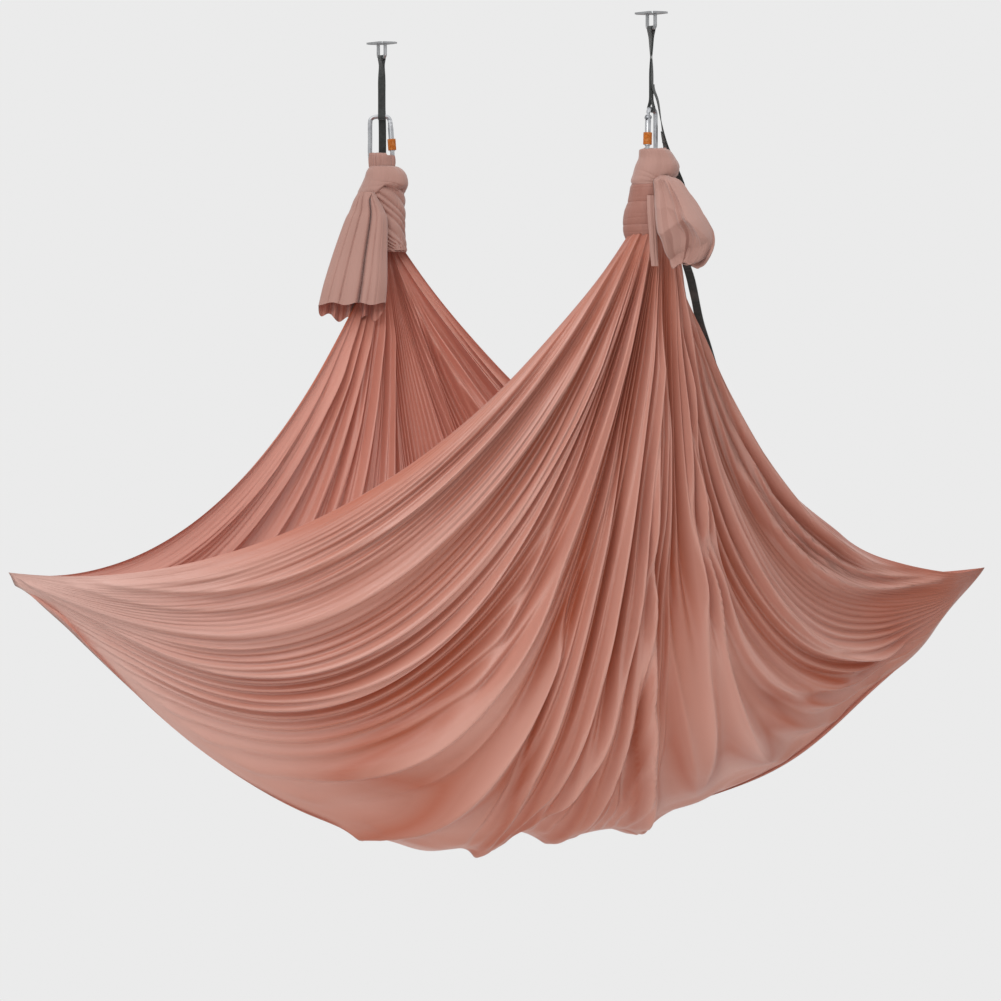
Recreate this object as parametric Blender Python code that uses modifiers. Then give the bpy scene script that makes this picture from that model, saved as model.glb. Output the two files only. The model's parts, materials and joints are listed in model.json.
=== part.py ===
"""Aerial yoga hammock: one wide cloth knotted on two screw-lock carabiners, which hang on two
daisy-chain straps from two ceiling plates.

Metres, +Z up.  The origin is the middle of the left ceiling plate's top face.  +X runs along the
hammock from the left tip to the right one, and the right suspension point lies towards -Y.
"""
import math

import bmesh
import bpy
import numpy as np
from mathutils import Matrix, Vector

# Clearances
GAP = 0.0003
RUNNING_GAP = 0.0006

# The suspension points and the hanging cloth
ANCHOR_SPACING = 1.181
LEFT_LEAN = 0.044
MOUTH_SPACING = 1.120
MOUTH_Z = -0.473
TIP_SPAN = 2.475
TIP_DROP = 0.719
KEEL_DROP = 1.332
KEEL_FULLNESS = 0.95
KEEL_SAG_LEFT = 0.038
KEEL_SAG_RIGHT = 0.040
KEEL_SWEEP = math.radians(60.0)
RIB_SLACK_MIDDLE = 0.052
RIB_SLACK_EDGE = 0.048
RIB_ROUNDNESS = 0.9
LEFT_MOUTH_RADIUS = 0.034
RIGHT_MOUTH_RADIUS = 0.046
CLOTH_WALL = 0.003
FLAT_WIDTH = 2.80
MAIN_FOLDS = (0.10, 0.20, 0.29, 0.345, 0.39, 0.414, 0.432, 0.46, 0.53, 0.60, 0.613, 0.628, 0.655,
              0.72, 0.82)
FOLD_TOP = 0.030
FOLD_FULLNESS = 0.9
KNOT_FADE = 0.08
SPARE_MOST = 2.2
ROWS_PER_SIDE = 9
FOLD_TURN_LEFT = 0.44
FOLD_TURN_RIGHT = 0.40

# The photographed view: the left carabiner stands square to it
VIEW_TURN = math.radians(-30.0)
RIGHT_CARABINER_TURN = math.radians(-141.0)

# Ceiling plates and eyes
PLATE_LENGTH = 0.076
PLATE_WIDTH = 0.046
PLATE_THICKNESS = 0.004
PLATE_CORNER = 0.008
PLATE_HOLE = 0.0035
PLATE_HOLE_INSET = 0.010
EYE_BAR = 0.004
EYE_DROP = 0.035
EYE_WIDTH = 0.032
EYE_CORNER = 0.008

# Carabiners
CARABINER_HEIGHT = 0.112
CARABINER_WIDTH = 0.063
BAR = 0.005
LEFT_CARABINER_TOP = -0.164
RIGHT_CARABINER_TOP = -0.202
GATE_RADIUS = 0.0062
GATE_PIVOT = (0.0195, 0.0330)
GATE_END = (0.0240, -0.0275)
GATE_BORE = 0.0029
GATE_BORE_DEPTH = 0.020
GATE_OPENING = math.radians(24.0)
TANG_THICKNESS = 0.0044
TANG_RADIUS = 0.0046
RIVET_RADIUS = 0.0016
RIVET_HEAD_RADIUS = 0.0030
RIVET_HEAD = 0.0008
SLEEVE_RADIUS = 0.00925
SLEEVE_LENGTH = 0.0255
SLEEVE_FROM_END = 0.0025
SLEEVE_TRAVEL = 0.0080
CHEEK_LENGTH = 0.030
CHEEK_MARGIN = 0.0052
SLOT_MARGIN = 0.0011
BORE_START_SHARE = 0.6
SLEEVE_RIDGES = 20
SLEEVE_RIDGE_DEPTH = 0.0006
SPRING_RADIUS = 0.0019
SPRING_WIRE = 0.00035
SPRING_CURLS = 6
STEPS_PER_CURL = 8
SPRING_LENGTH = 0.0100
PLUNGER_RADIUS = 0.0023

# Webbing
WEBBING_WIDTH = 0.017
WEBBING_THICKNESS = 0.0018
LEG_GAP = 0.0010
LOOP_TAPER = 0.013
LOOP_LEG_POINTS = 17
LOOP_BEND_POINTS = 9
TWIST_SHARE = 0.62
ROUTE_STEPS = 6
SEWN_GAP = 0.0008
POCKET_BULGE = 0.010
TACK_LENGTH = 0.0035
TACK_THICKNESS = 0.0008
TACK_SIDE_MARGIN = 0.001
POCKETS_OVERHANG = 0.03

# Knots
COLLAR_HALF_WIDTH = 0.031
COLLAR_HALF_DEPTH = 0.022
COLLAR_HEIGHT = 0.043
COLLAR_BELOW_BAR_END = 0.0252
FLUTE_SHARE = 0.10
COLLAR_FLUTES = 8
NECK_FLUTES = 8
TAIL_FLUTES = 6
WRAP_RINGS = 24
WRAP_SIDES = 8
WRAP_SWELL = 0.14

SKIN = (0.62, 0.40, 0.33)


def clear_scene():
    for old in list(bpy.data.objects):
        bpy.data.objects.remove(old, do_unlink=True)


def make_collection(name):
    collection = bpy.data.collections.new(name)
    bpy.context.scene.collection.children.link(collection)
    return collection


clear_scene()
PARTS = make_collection("aerial_yoga_hammock")
CUTTERS = make_collection("cutters")


def material(name, colour, roughness, metallic=0.0):
    found = bpy.data.materials.get(name)
    if found:
        return found
    made = bpy.data.materials.new(name)
    made.use_nodes = True
    shader = made.node_tree.nodes["Principled BSDF"]
    shader.inputs["Base Color"].default_value = (*colour, 1.0)
    shader.inputs["Roughness"].default_value = roughness
    shader.inputs["Metallic"].default_value = metallic
    return made


def cloth_material():
    return material("salmon_nylon_tricot", SKIN, 0.45)


def webbing_material():
    return material("black_webbing", (0.022, 0.025, 0.024), 0.75)


def steel_material():
    return material("bare_alloy", (0.62, 0.63, 0.65), 0.28, 1.0)


def sleeve_material():
    return material("orange_anodised", (0.75, 0.20, 0.02), 0.35, 0.8)


def plate_material():
    return material("zinc_plated_steel", (0.48, 0.49, 0.50), 0.38, 1.0)


def add_object(name, mesh, mat, collection=PARTS):
    made = bpy.data.objects.new(name, mesh)
    made.data.materials.clear()
    made.data.materials.append(mat)
    collection.objects.link(made)
    return made


def shade(obj, angle=40.0):
    obj.data.shade_smooth()
    obj.data.set_sharp_from_angle(angle=math.radians(angle))
    return obj


def mesh_from_sections(sections, closed_path=False):
    """A tube of quads through rings of points, with flat caps on an open path."""
    sections = np.asarray(sections, float)
    count, ring = sections.shape[:2]
    bm = bmesh.new()
    grid = [[bm.verts.new(point) for point in section] for section in sections]
    last = count if closed_path else count - 1
    for i in range(last):
        here = grid[i]
        there = grid[(i + 1) % count]
        for j in range(ring):
            k = (j + 1) % ring
            bm.faces.new((here[j], here[k], there[k], there[j]))
    if not closed_path:
        bm.faces.new(list(reversed(grid[0])))
        bm.faces.new(grid[-1])
    bmesh.ops.recalc_face_normals(bm, faces=bm.faces)
    mesh = bpy.data.meshes.new("loft")
    bm.to_mesh(mesh)
    bm.free()
    return mesh


def boolean(obj, cutter, operation="DIFFERENCE"):
    """Cut or join with another object, and bake the result into the mesh."""
    cutter.hide_render = True
    cutter.display_type = "WIRE"
    modifier = obj.modifiers.new("cut", "BOOLEAN")
    modifier.operation = operation
    modifier.solver = "EXACT"
    modifier.object = cutter
    bpy.context.view_layer.update()
    graph = bpy.context.evaluated_depsgraph_get()
    mesh = bpy.data.meshes.new_from_object(obj.evaluated_get(graph))
    obj.modifiers.clear()
    obj.data = mesh
    return obj


def curve_to_mesh(obj):
    """A bevelled curve as a closed mesh with its caps welded."""
    bpy.context.view_layer.update()
    graph = bpy.context.evaluated_depsgraph_get()
    mesh = bpy.data.meshes.new_from_object(obj.evaluated_get(graph))
    bm = bmesh.new()
    bm.from_mesh(mesh)
    bmesh.ops.remove_doubles(bm, verts=bm.verts, dist=0.00001)
    bmesh.ops.recalc_face_normals(bm, faces=bm.faces)
    bm.to_mesh(mesh)
    bm.free()
    made = bpy.data.objects.new(obj.name, mesh)
    made.matrix_world = obj.matrix_world.copy()
    name = obj.name
    bpy.data.objects.remove(obj, do_unlink=True)
    made.name = name
    return made


def tube(name, points, radius, mat, collection=PARTS, resolution=2, cyclic=False):
    """A round bar along a polyline, as a closed mesh."""
    curve = bpy.data.curves.new(name, "CURVE")
    curve.dimensions = "3D"
    curve.bevel_depth = radius
    curve.bevel_resolution = resolution
    curve.use_fill_caps = True
    spline = curve.splines.new("POLY")
    spline.points.add(len(points) - 1)
    for target, point in zip(spline.points, points):
        target.co = (*point, 1.0)
    spline.use_cyclic_u = cyclic
    holder = bpy.data.objects.new(name, curve)
    collection.objects.link(holder)
    made = curve_to_mesh(holder)
    made.data.materials.clear()
    made.data.materials.append(mat)
    collection.objects.link(made)
    return made


def cylinder(name, start, end, radius, mat, collection=PARTS, sides=24):
    """A round solid between two points."""
    start = Vector(start)
    end = Vector(end)
    axis = end - start
    bm = bmesh.new()
    bmesh.ops.create_cone(bm, cap_ends=True, segments=sides, radius1=radius, radius2=radius,
                          depth=axis.length)
    turn = axis.to_track_quat("Z", "Y").to_matrix().to_4x4()
    bmesh.ops.transform(bm, matrix=Matrix.Translation((start + end) / 2) @ turn, verts=bm.verts)
    mesh = bpy.data.meshes.new(name)
    bm.to_mesh(mesh)
    bm.free()
    return add_object(name, mesh, mat, collection)


def block(name, matrix, size, mat, collection=PARTS):
    """A box of the given full size, placed by a matrix."""
    bm = bmesh.new()
    bmesh.ops.create_cube(bm, size=1.0)
    bmesh.ops.scale(bm, vec=size, verts=bm.verts)
    bmesh.ops.transform(bm, matrix=matrix, verts=bm.verts)
    mesh = bpy.data.meshes.new(name)
    bm.to_mesh(mesh)
    bm.free()
    return add_object(name, mesh, mat, collection)


def smooth_path(points, steps):
    """A Catmull-Rom curve through the points, with steps pieces in each span."""
    points = np.asarray(points, float)
    ends = np.vstack([2 * points[0] - points[1], points, 2 * points[-1] - points[-2]])
    path = []
    for i in range(len(points) - 1):
        a, b, c, d = ends[i:i + 4]
        for t in np.arange(steps) / steps:
            path.append(0.5 * (2 * b + (c - a) * t + (2 * a - 5 * b + 4 * c - d) * t * t
                               + (3 * b - a - 3 * c + d) * t ** 3))
    path.append(points[-1])
    return np.array(path)


def tangents(path, closed=False):
    if closed:
        step = np.roll(path, -1, axis=0) - np.roll(path, 1, axis=0)
    else:
        step = np.gradient(path, axis=0)
    return step / np.linalg.norm(step, axis=1)[:, None]


def ribbon_mesh(path, across, width, thickness, closed=False):
    """Webbing along a path, whose width lies along the across directions."""
    along = tangents(path, closed)
    across = across - (across * along).sum(1)[:, None] * along
    across = across / np.linalg.norm(across, axis=1)[:, None]
    face = np.cross(along, across)
    half_w = across * width / 2
    half_t = face * thickness / 2
    corners = [path - half_w - half_t, path + half_w - half_t, path + half_w + half_t,
               path - half_w + half_t]
    return mesh_from_sections(np.stack(corners, axis=1), closed)


# The view's own directions, in which the photographed knots are measured
VIEW_RIGHT = np.array([math.cos(VIEW_TURN), math.sin(VIEW_TURN), 0.0])
VIEW_DEEP = np.array([-math.sin(VIEW_TURN), math.cos(VIEW_TURN), 0.0])
UP = np.array([0.0, 0.0, 1.0])

LEFT_ANCHOR = np.array([0.0, 0.0, 0.0])
RIGHT_ANCHOR = np.array([0.0, -ANCHOR_SPACING, 0.0])
LEFT_MOUTH = np.array([0.0, -LEFT_LEAN, MOUTH_Z])
RIGHT_MOUTH = np.array([0.0, -LEFT_LEAN - MOUTH_SPACING, MOUTH_Z])
MIDDLE_Y = -LEFT_LEAN - MOUTH_SPACING / 2


def view_point(origin, right, deep, up):
    """A point given by its distances to the right, away from the viewer and up."""
    return np.asarray(origin) + right * VIEW_RIGHT + deep * VIEW_DEEP + up * UP


# The cloth: every rib hangs as a catenary from the right mouth to the keel and up to the left, a
# little longer than the straight way
RIB_LENGTH_MIDDLE = (1 + RIB_SLACK_MIDDLE) * math.hypot(MOUTH_SPACING / 2, KEEL_DROP)
RIB_LENGTH_EDGE = (1 + RIB_SLACK_EDGE) * math.hypot(TIP_SPAN / 2, MOUTH_SPACING / 2, TIP_DROP)


def keel_point(share):
    """The keel's x and z, for a share 0 at the left tip and 1 at the right one."""
    x = TIP_SPAN / 2 * np.sin((2 * share - 1) * KEEL_SWEEP) / math.sin(KEEL_SWEEP)
    r = x / (TIP_SPAN / 2)
    depth = (KEEL_DROP - TIP_DROP) * np.clip(1 - r * r, 0, 1) ** KEEL_FULLNESS
    left = KEEL_SAG_LEFT * np.exp(-((r + 0.42) / 0.2) ** 2)
    right = KEEL_SAG_RIGHT * np.exp(-((r - 0.60) / 0.2) ** 2)
    return x, MOUTH_Z - TIP_DROP - depth - left - right


def catenary(span, drop, length):
    """The catenary's parameter, and its ends' distances from its lowest point."""
    target = np.sqrt(length * length - drop * drop) / span
    u = np.sqrt(6 * (target - 1))
    for _ in range(12):
        u = u - (np.sinh(u) / u - target) * u * u / (np.cosh(u) * u - np.sinh(u))
    a = span / (2 * u)
    middle = -a * np.arctanh(drop / length)
    return a, middle - span / 2, middle + span / 2


def cloth_point(share, along):
    """The smooth cloth: share runs across its width, along runs 0 at the right mouth to 1."""
    share, along = np.broadcast_arrays(share, along)
    side = np.where(along <= 0.5, -1.0, 1.0)
    mouth = np.where(along <= 0.5, RIGHT_MOUTH_RADIUS, LEFT_MOUTH_RADIUS)
    down = 1 - np.abs(2 * along - 1)
    x, z = keel_point(share)
    offset = np.abs(2 * share - 1)
    length = RIB_LENGTH_MIDDLE + (RIB_LENGTH_EDGE - RIB_LENGTH_MIDDLE) * offset ** 2
    span = np.hypot(x, MOUTH_SPACING / 2)
    a, start, _ = catenary(span, MOUTH_Z - z, length)
    arc = a * np.sinh(start / a) + down * length
    reach = (a * np.arcsinh(arc / a) - start) / span
    height = MOUTH_Z - (a * np.cosh(start / a) - np.sqrt(a * a + arc * arc))
    swell = RIB_ROUNDNESS * (1 - offset ** 2)
    near = (1 - reach) ** 6
    px = x * (reach + swell * reach * (1 - reach)) - mouth * np.cos(math.pi * share) * near
    py = MIDDLE_Y + side * (MOUTH_SPACING / 2 * (1 - reach) + mouth * np.sin(math.pi * share) * near)
    return np.stack([px, py, height], axis=-1)


def fold_line(v, down):
    """Where fold line v crosses the cloth's width: near an edge it bends out into that edge's tip."""
    left = v < 0.5
    near = np.where(left, v / FOLD_TURN_LEFT, (1 - v) / FOLD_TURN_RIGHT)
    power = np.where(left, 2.0 + 2.2 * near ** 2, 1.0 + 2.2 * near ** 3)
    hold = np.where(left, near ** 9, near ** 12)
    bend = np.where(near < 1, (1 - hold) * down ** power, 0.0)
    return np.where(left, v * (1 - bend), 1 - (1 - v) * (1 - bend))


def fold_heights(base, crest):
    """How far the crest lines stand out: a fold of pitch p, with sides longer by the factor e, rises
    by p / 2 * sqrt(e * e - 1).  The cloth is equally wide everywhere, so e is its flat width over the
    smooth row's length."""
    step = np.linalg.norm(np.diff(base, axis=0), axis=-1)
    spare = np.clip(FLAT_WIDTH / np.maximum(step.sum(axis=0), 0.2), 1.0, SPARE_MOST)
    pitch = np.zeros(base.shape[:2])
    pitch[1:-1] = step[:-1] + step[1:]
    tall = FOLD_FULLNESS * pitch * 0.5 * np.sqrt(spare ** 2 - 1)
    return np.where(crest[:, None], np.minimum(tall, FOLD_TOP), 0.0)


def build_cloth():
    """One sheet with its main folds: crests stand towards the front on both fans, with valleys
    between them."""
    rows = 2 * ROWS_PER_SIDE + 1
    crests = np.array(MAIN_FOLDS)
    valleys = np.concatenate([[0.0], (crests[1:] + crests[:-1]) / 2, [1.0]])
    v = np.sort(np.concatenate([crests, valleys]))
    lines = len(v)
    step = np.linspace(0, 1, rows)
    down_rows = 1 - np.abs(2 * step - 1)
    down_rows = 1 - (1 - down_rows) ** 1.15
    along = np.where(step <= 0.5, down_rows / 2, 1 - down_rows / 2)
    vv, aa = np.meshgrid(v, along, indexing="ij")
    down = 1 - np.abs(2 * aa - 1)
    share = fold_line(vv, down)
    base = cloth_point(share, aa)
    small = 0.001
    d_share = cloth_point(np.clip(share + small, 0, 1), aa) - cloth_point(
        np.clip(share - small, 0, 1), aa)
    d_along = cloth_point(share, np.clip(aa + small, 0, 1)) - cloth_point(
        share, np.clip(aa - small, 0, 1))
    normal = np.cross(d_share, d_along)
    normal /= np.linalg.norm(normal, axis=-1)[..., None]
    fade = np.clip(down / KNOT_FADE, 0, 1)
    front = np.where(aa <= 0.5, 1.0, -1.0)
    points = base + normal * (front * fold_heights(base, np.isin(v, crests)) * fade)[..., None]
    for end, inner in ((0, 1), (-1, -2)):
        step = points[:, end] - points[:, inner]
        points[:, end] += step / np.linalg.norm(step, axis=1)[:, None] * CLOTH_WALL
    bm = bmesh.new()
    grid = [[bm.verts.new(points[i, j]) for j in range(rows)] for i in range(lines)]
    for i in range(lines - 1):
        for j in range(rows - 1):
            bm.faces.new((grid[i][j], grid[i + 1][j], grid[i + 1][j + 1], grid[i][j + 1]))
    bmesh.ops.recalc_face_normals(bm, faces=bm.faces)
    mesh = bpy.data.meshes.new("hammock_cloth")
    bm.to_mesh(mesh)
    bm.free()
    cloth = add_object("hammock_cloth", mesh, cloth_material())
    shell = cloth.modifiers.new("wall", "SOLIDIFY")
    shell.thickness = CLOTH_WALL
    shell.offset = 0.0
    shell.use_even_offset = False
    bpy.context.view_layer.update()
    graph = bpy.context.evaluated_depsgraph_get()
    walled = bpy.data.meshes.new_from_object(cloth.evaluated_get(graph))
    cloth.modifiers.clear()
    for vert in walled.vertices:
        vert.co.z = min(vert.co.z, MOUTH_Z)
    cloth.data = walled
    return cloth


# Carabiners: local x runs from the spine to the gate, local y through the frame, local z up
def carabiner_matrix(anchor, top, turn):
    centre = Vector(anchor) + Vector((0, 0, top - CARABINER_HEIGHT / 2))
    return Matrix.Translation(centre) @ Matrix.Rotation(turn, 4, "Z")


def local(matrix, x, y, z):
    return matrix @ Vector((x, y, z))


def gate_length():
    return math.hypot(GATE_END[0] - GATE_PIVOT[0], GATE_END[1] - GATE_PIVOT[1])


def swing_room():
    """How much lower the gate's outer corner swings than its end face lies."""
    return math.hypot(gate_length(), GATE_RADIUS) - gate_length()


def frame_path():
    """The frame's centre line, from the gate's pivot over the top and round to the nose."""
    half_w = CARABINER_WIDTH / 2 - BAR
    half_h = CARABINER_HEIGHT / 2 - BAR
    top = half_h
    knots = [(GATE_PIVOT[0], GATE_PIVOT[1] + TANG_RADIUS * 0.55), (GATE_PIVOT[0] - 0.002, top - 0.006),
             (GATE_PIVOT[0] - 0.009, top), (-0.0125, top), (-half_w + 0.0035, top - 0.004),
             (-half_w, top - 0.014), (-half_w, 0.0), (-half_w, -top + 0.014),
             (-half_w + 0.005, -top + 0.0035), (-half_w + 0.018, -top), (0.010, -top),
             (GATE_END[0] - 0.003, -top + 0.0045), (GATE_END[0], -top + 0.014),
             (GATE_END[0], GATE_END[1] - GAP - swing_room())]
    flat = smooth_path(knots, 3)
    return [(x, 0.0, z) for x, z in flat]


def frame_bar(name, matrix, radius, collection, mat):
    bar = tube(name, frame_path(), radius, mat, collection)
    bar.data.transform(matrix)
    return bar


def gate_direction(opened=0.0):
    """The gate's direction down from its pivot, when it is opened inwards by an angle."""
    step = Vector((GATE_END[0] - GATE_PIVOT[0], 0.0, GATE_END[1] - GATE_PIVOT[1]))
    return Matrix.Rotation(opened, 3, "Y") @ step.normalized()


def along_gate(matrix, distance, opened=0.0):
    """A point on the gate's centre line, measured from its pivot."""
    pivot = Vector((GATE_PIVOT[0], 0.0, GATE_PIVOT[1]))
    return matrix @ (pivot + gate_direction(opened) * distance)


def build_carabiner(side, matrix):
    """Frame, gate, rivet, spring, plunger and screw sleeve of one carabiner."""
    steel = steel_material()
    ear_radius = TANG_RADIUS + RUNNING_GAP

    frame = frame_bar(side + "_carabiner_frame", matrix, BAR, PARTS, steel)
    slab_thick = (2 * BAR - TANG_THICKNESS) / 2 + BAR
    for way in (-1, 1):
        offset = way * (TANG_THICKNESS / 2 + slab_thick / 2)
        place = matrix @ Matrix.Translation((GATE_PIVOT[0], offset, GATE_PIVOT[1]))
        cheek = block("cheek_cutter", place,
                      (CHEEK_LENGTH, slab_thick, 2 * (ear_radius + CHEEK_MARGIN)), steel, CUTTERS)
        boolean(frame, cheek)
    tang = cylinder("tang_cutter", local(matrix, GATE_PIVOT[0], -TANG_THICKNESS / 2, GATE_PIVOT[1]),
                    local(matrix, GATE_PIVOT[0], TANG_THICKNESS / 2, GATE_PIVOT[1]),
                    TANG_RADIUS, steel, CUTTERS)
    boolean(frame, tang, "UNION")
    hole = cylinder("rivet_hole_cutter", local(matrix, GATE_PIVOT[0], -BAR * 2, GATE_PIVOT[1]),
                    local(matrix, GATE_PIVOT[0], BAR * 2, GATE_PIVOT[1]),
                    RIVET_RADIUS + GAP, steel, CUTTERS, 16)
    boolean(frame, hole)

    gate = cylinder(side + "_carabiner_gate", along_gate(matrix, -TANG_RADIUS),
                    along_gate(matrix, gate_length()), GATE_RADIUS, steel, PARTS, 20)
    slot = block("slot_cutter", matrix @ Matrix.Translation((GATE_PIVOT[0], 0, GATE_PIVOT[1])),
                 (4 * GATE_RADIUS, TANG_THICKNESS + 2 * RUNNING_GAP, 2 * (ear_radius + SLOT_MARGIN)),
                 steel, CUTTERS)
    boolean(gate, slot)
    boolean(gate, hole)
    bore_start = ear_radius * BORE_START_SHARE
    bore = cylinder("bore_cutter", along_gate(matrix, bore_start),
                    along_gate(matrix, bore_start + GATE_BORE_DEPTH), GATE_BORE, steel, CUTTERS, 16)
    boolean(gate, bore)

    head_at = GATE_RADIUS + GAP
    rivet = cylinder(side + "_gate_rivet",
                     local(matrix, GATE_PIVOT[0], -head_at - RIVET_HEAD / 2, GATE_PIVOT[1]),
                     local(matrix, GATE_PIVOT[0], head_at + RIVET_HEAD / 2, GATE_PIVOT[1]),
                     RIVET_RADIUS, steel, PARTS, 16)
    for way in (-1, 1):
        head = cylinder("rivet_head_cutter", local(matrix, GATE_PIVOT[0], way * head_at, GATE_PIVOT[1]),
                        local(matrix, GATE_PIVOT[0], way * (head_at + RIVET_HEAD), GATE_PIVOT[1]),
                        RIVET_HEAD_RADIUS, steel, CUTTERS, 16)
        boolean(rivet, head, "UNION")

    spring_foot = bore_start + GATE_BORE_DEPTH - SPRING_WIRE - GAP
    spring_head = spring_foot - SPRING_LENGTH
    turns = np.linspace(0, SPRING_CURLS, SPRING_CURLS * STEPS_PER_CURL + 1)
    coil = []
    for turn in turns:
        angle = 2 * math.pi * turn
        x_way = SPRING_RADIUS * math.cos(angle)
        y_way = SPRING_RADIUS * math.sin(angle)
        down = spring_foot - SPRING_LENGTH * turn / SPRING_CURLS
        centre = Vector((GATE_PIVOT[0], y_way, GATE_PIVOT[1])) + gate_direction() * down
        sideways = Vector((-gate_direction().z, 0, gate_direction().x))
        coil.append(matrix @ (centre + sideways * x_way))
    tube(side + "_gate_spring", coil, SPRING_WIRE, steel, PARTS, 1)

    cylinder(side + "_gate_plunger", along_gate(matrix, ear_radius + GAP),
             along_gate(matrix, spring_head - SPRING_WIRE - GAP), PLUNGER_RADIUS, steel, PARTS, 16)

    sleeve_end = gate_length() - SLEEVE_FROM_END
    sleeve = cylinder(side + "_screw_sleeve", along_gate(matrix, sleeve_end - SLEEVE_LENGTH),
                      along_gate(matrix, sleeve_end), SLEEVE_RADIUS, sleeve_material(), PARTS,
                      2 * SLEEVE_RIDGES)
    bm = bmesh.new()
    bm.from_mesh(sleeve.data)
    axis_start = along_gate(matrix, 0)
    axis = (along_gate(matrix, 1) - axis_start).normalized()
    reference = (matrix.to_3x3() @ Vector((0, 1, 0))).normalized()
    other = axis.cross(reference)
    for vert in bm.verts:
        arm = vert.co - axis_start
        arm = arm - axis * arm.dot(axis)
        angle = math.atan2(arm.dot(other), arm.dot(reference))
        if round(angle / math.pi * SLEEVE_RIDGES) % 2:
            vert.co -= arm.normalized() * SLEEVE_RIDGE_DEPTH
    bm.to_mesh(sleeve.data)
    bm.free()
    inner = cylinder("sleeve_bore_cutter", along_gate(matrix, sleeve_end - 2 * SLEEVE_LENGTH),
                     along_gate(matrix, sleeve_end + SLEEVE_LENGTH), GATE_RADIUS + GAP,
                     sleeve_material(), CUTTERS, 20)
    boolean(sleeve, inner)
    for made in (frame, gate, rivet, sleeve):
        shade(made)


# Straps
def strap_loop(name, eye, bar, bar_turn):
    """The taut length: webbing round the ceiling eye and round the carabiner's top bar."""
    top_radius = EYE_BAR + GAP + WEBBING_THICKNESS / 2
    low_radius = BAR + GAP + WEBBING_THICKNESS / 2
    middle = (WEBBING_THICKNESS + LEG_GAP) / 2
    length = eye[2] - bar[2]
    heights = np.linspace(0, 1, LOOP_LEG_POINTS + 2)[1:-1]
    outline = []
    for angle in np.linspace(math.pi, 0, LOOP_BEND_POINTS):
        outline.append((top_radius * math.cos(angle), top_radius * math.sin(angle), 0.0))
    right_leg = []
    for share in heights:
        from_top = share * length
        from_low = length - from_top
        offset = (middle + (top_radius - middle) * math.exp(-(from_top / LOOP_TAPER) ** 2)
                  + (low_radius - middle) * math.exp(-(from_low / LOOP_TAPER) ** 2))
        right_leg.append((offset, -from_top, share))
    outline += right_leg
    for angle in np.linspace(0, -math.pi, LOOP_BEND_POINTS):
        outline.append((low_radius * math.cos(angle), low_radius * math.sin(angle) - length, 1.0))
    outline += [(-offset, down, share) for offset, down, share in reversed(right_leg)]
    eye_turn = math.pi / 2
    twist = (bar_turn - eye_turn + math.pi / 2) % math.pi - math.pi / 2
    path = []
    across = []
    for offset, down, share in outline:
        turn = eye_turn + twist * (0.5 - 0.5 * math.cos(math.pi * min(share / TWIST_SHARE, 1)))
        wide = np.array([math.cos(turn), math.sin(turn), 0.0])
        out = np.array([math.sin(turn), -math.cos(turn), 0.0])
        path.append(np.asarray(eye) + out * offset + UP * down)
        across.append(wide)
    mesh = ribbon_mesh(np.array(path), np.array(across), WEBBING_WIDTH, WEBBING_THICKNESS, True)
    return shade(add_object(name, mesh, webbing_material()))


def strap_tail(side, anchor, top, route, tack_shares):
    """The spare length behind a knot: a base webbing, its sewn pockets and their bar tacks.

    A route point is (right, deep, up, turn): its place in the view, in carabiner heights from the
    carabiner's top, and the way the webbing's width turns about the vertical.
    """
    steps = smooth_path(route, ROUTE_STEPS)
    steps[:, :3] *= CARABINER_HEIGHT
    path = np.array([view_point((anchor[0], anchor[1], top), *step[:3]) for step in steps])
    across = np.stack([np.cos(steps[:, 3]), np.sin(steps[:, 3]), 0 * steps[:, 3]], axis=1)
    along = tangents(path)
    across = across - (across * along).sum(1)[:, None] * along
    across /= np.linalg.norm(across, axis=1)[:, None]
    face = np.cross(along, across)
    reach = np.concatenate([[0], np.cumsum(np.linalg.norm(np.diff(path, axis=0), axis=1))])
    reach /= reach[-1]
    base = ribbon_mesh(path, across, WEBBING_WIDTH, WEBBING_THICKNESS)
    shade(add_object(side + "_strap_tail", base, webbing_material()))

    lift = np.full(len(path), WEBBING_THICKNESS + SEWN_GAP)
    for start, end in zip(tack_shares[:-1], tack_shares[1:]):
        inside = (reach > start) & (reach < end)
        phase = (reach[inside] - start) / (end - start)
        lift[inside] += POCKET_BULGE * np.sin(math.pi * phase) ** 2
    used = (reach >= tack_shares[0] - POCKETS_OVERHANG) & (reach <= tack_shares[-1] + POCKETS_OVERHANG)
    pockets = ribbon_mesh(path[used] + face[used] * lift[used, None], across[used],
                          WEBBING_WIDTH, WEBBING_THICKNESS)
    sewn = add_object(side + "_strap_pockets", pockets, webbing_material())

    for share in tack_shares:
        i = int(np.argmin(np.abs(reach - share)))
        raised = lift[i] + WEBBING_THICKNESS / 2
        at = path[i] + face[i] * raised
        turn = Matrix((across[i], along[i], face[i])).transposed().to_4x4()
        tack = block("tack_cutter", Matrix.Translation(at) @ turn,
                     (WEBBING_WIDTH - 2 * TACK_SIDE_MARGIN, TACK_LENGTH, 2 * TACK_THICKNESS),
                     webbing_material(), CUTTERS)
        boolean(sewn, tack, "UNION")
    shade(sewn)


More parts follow.
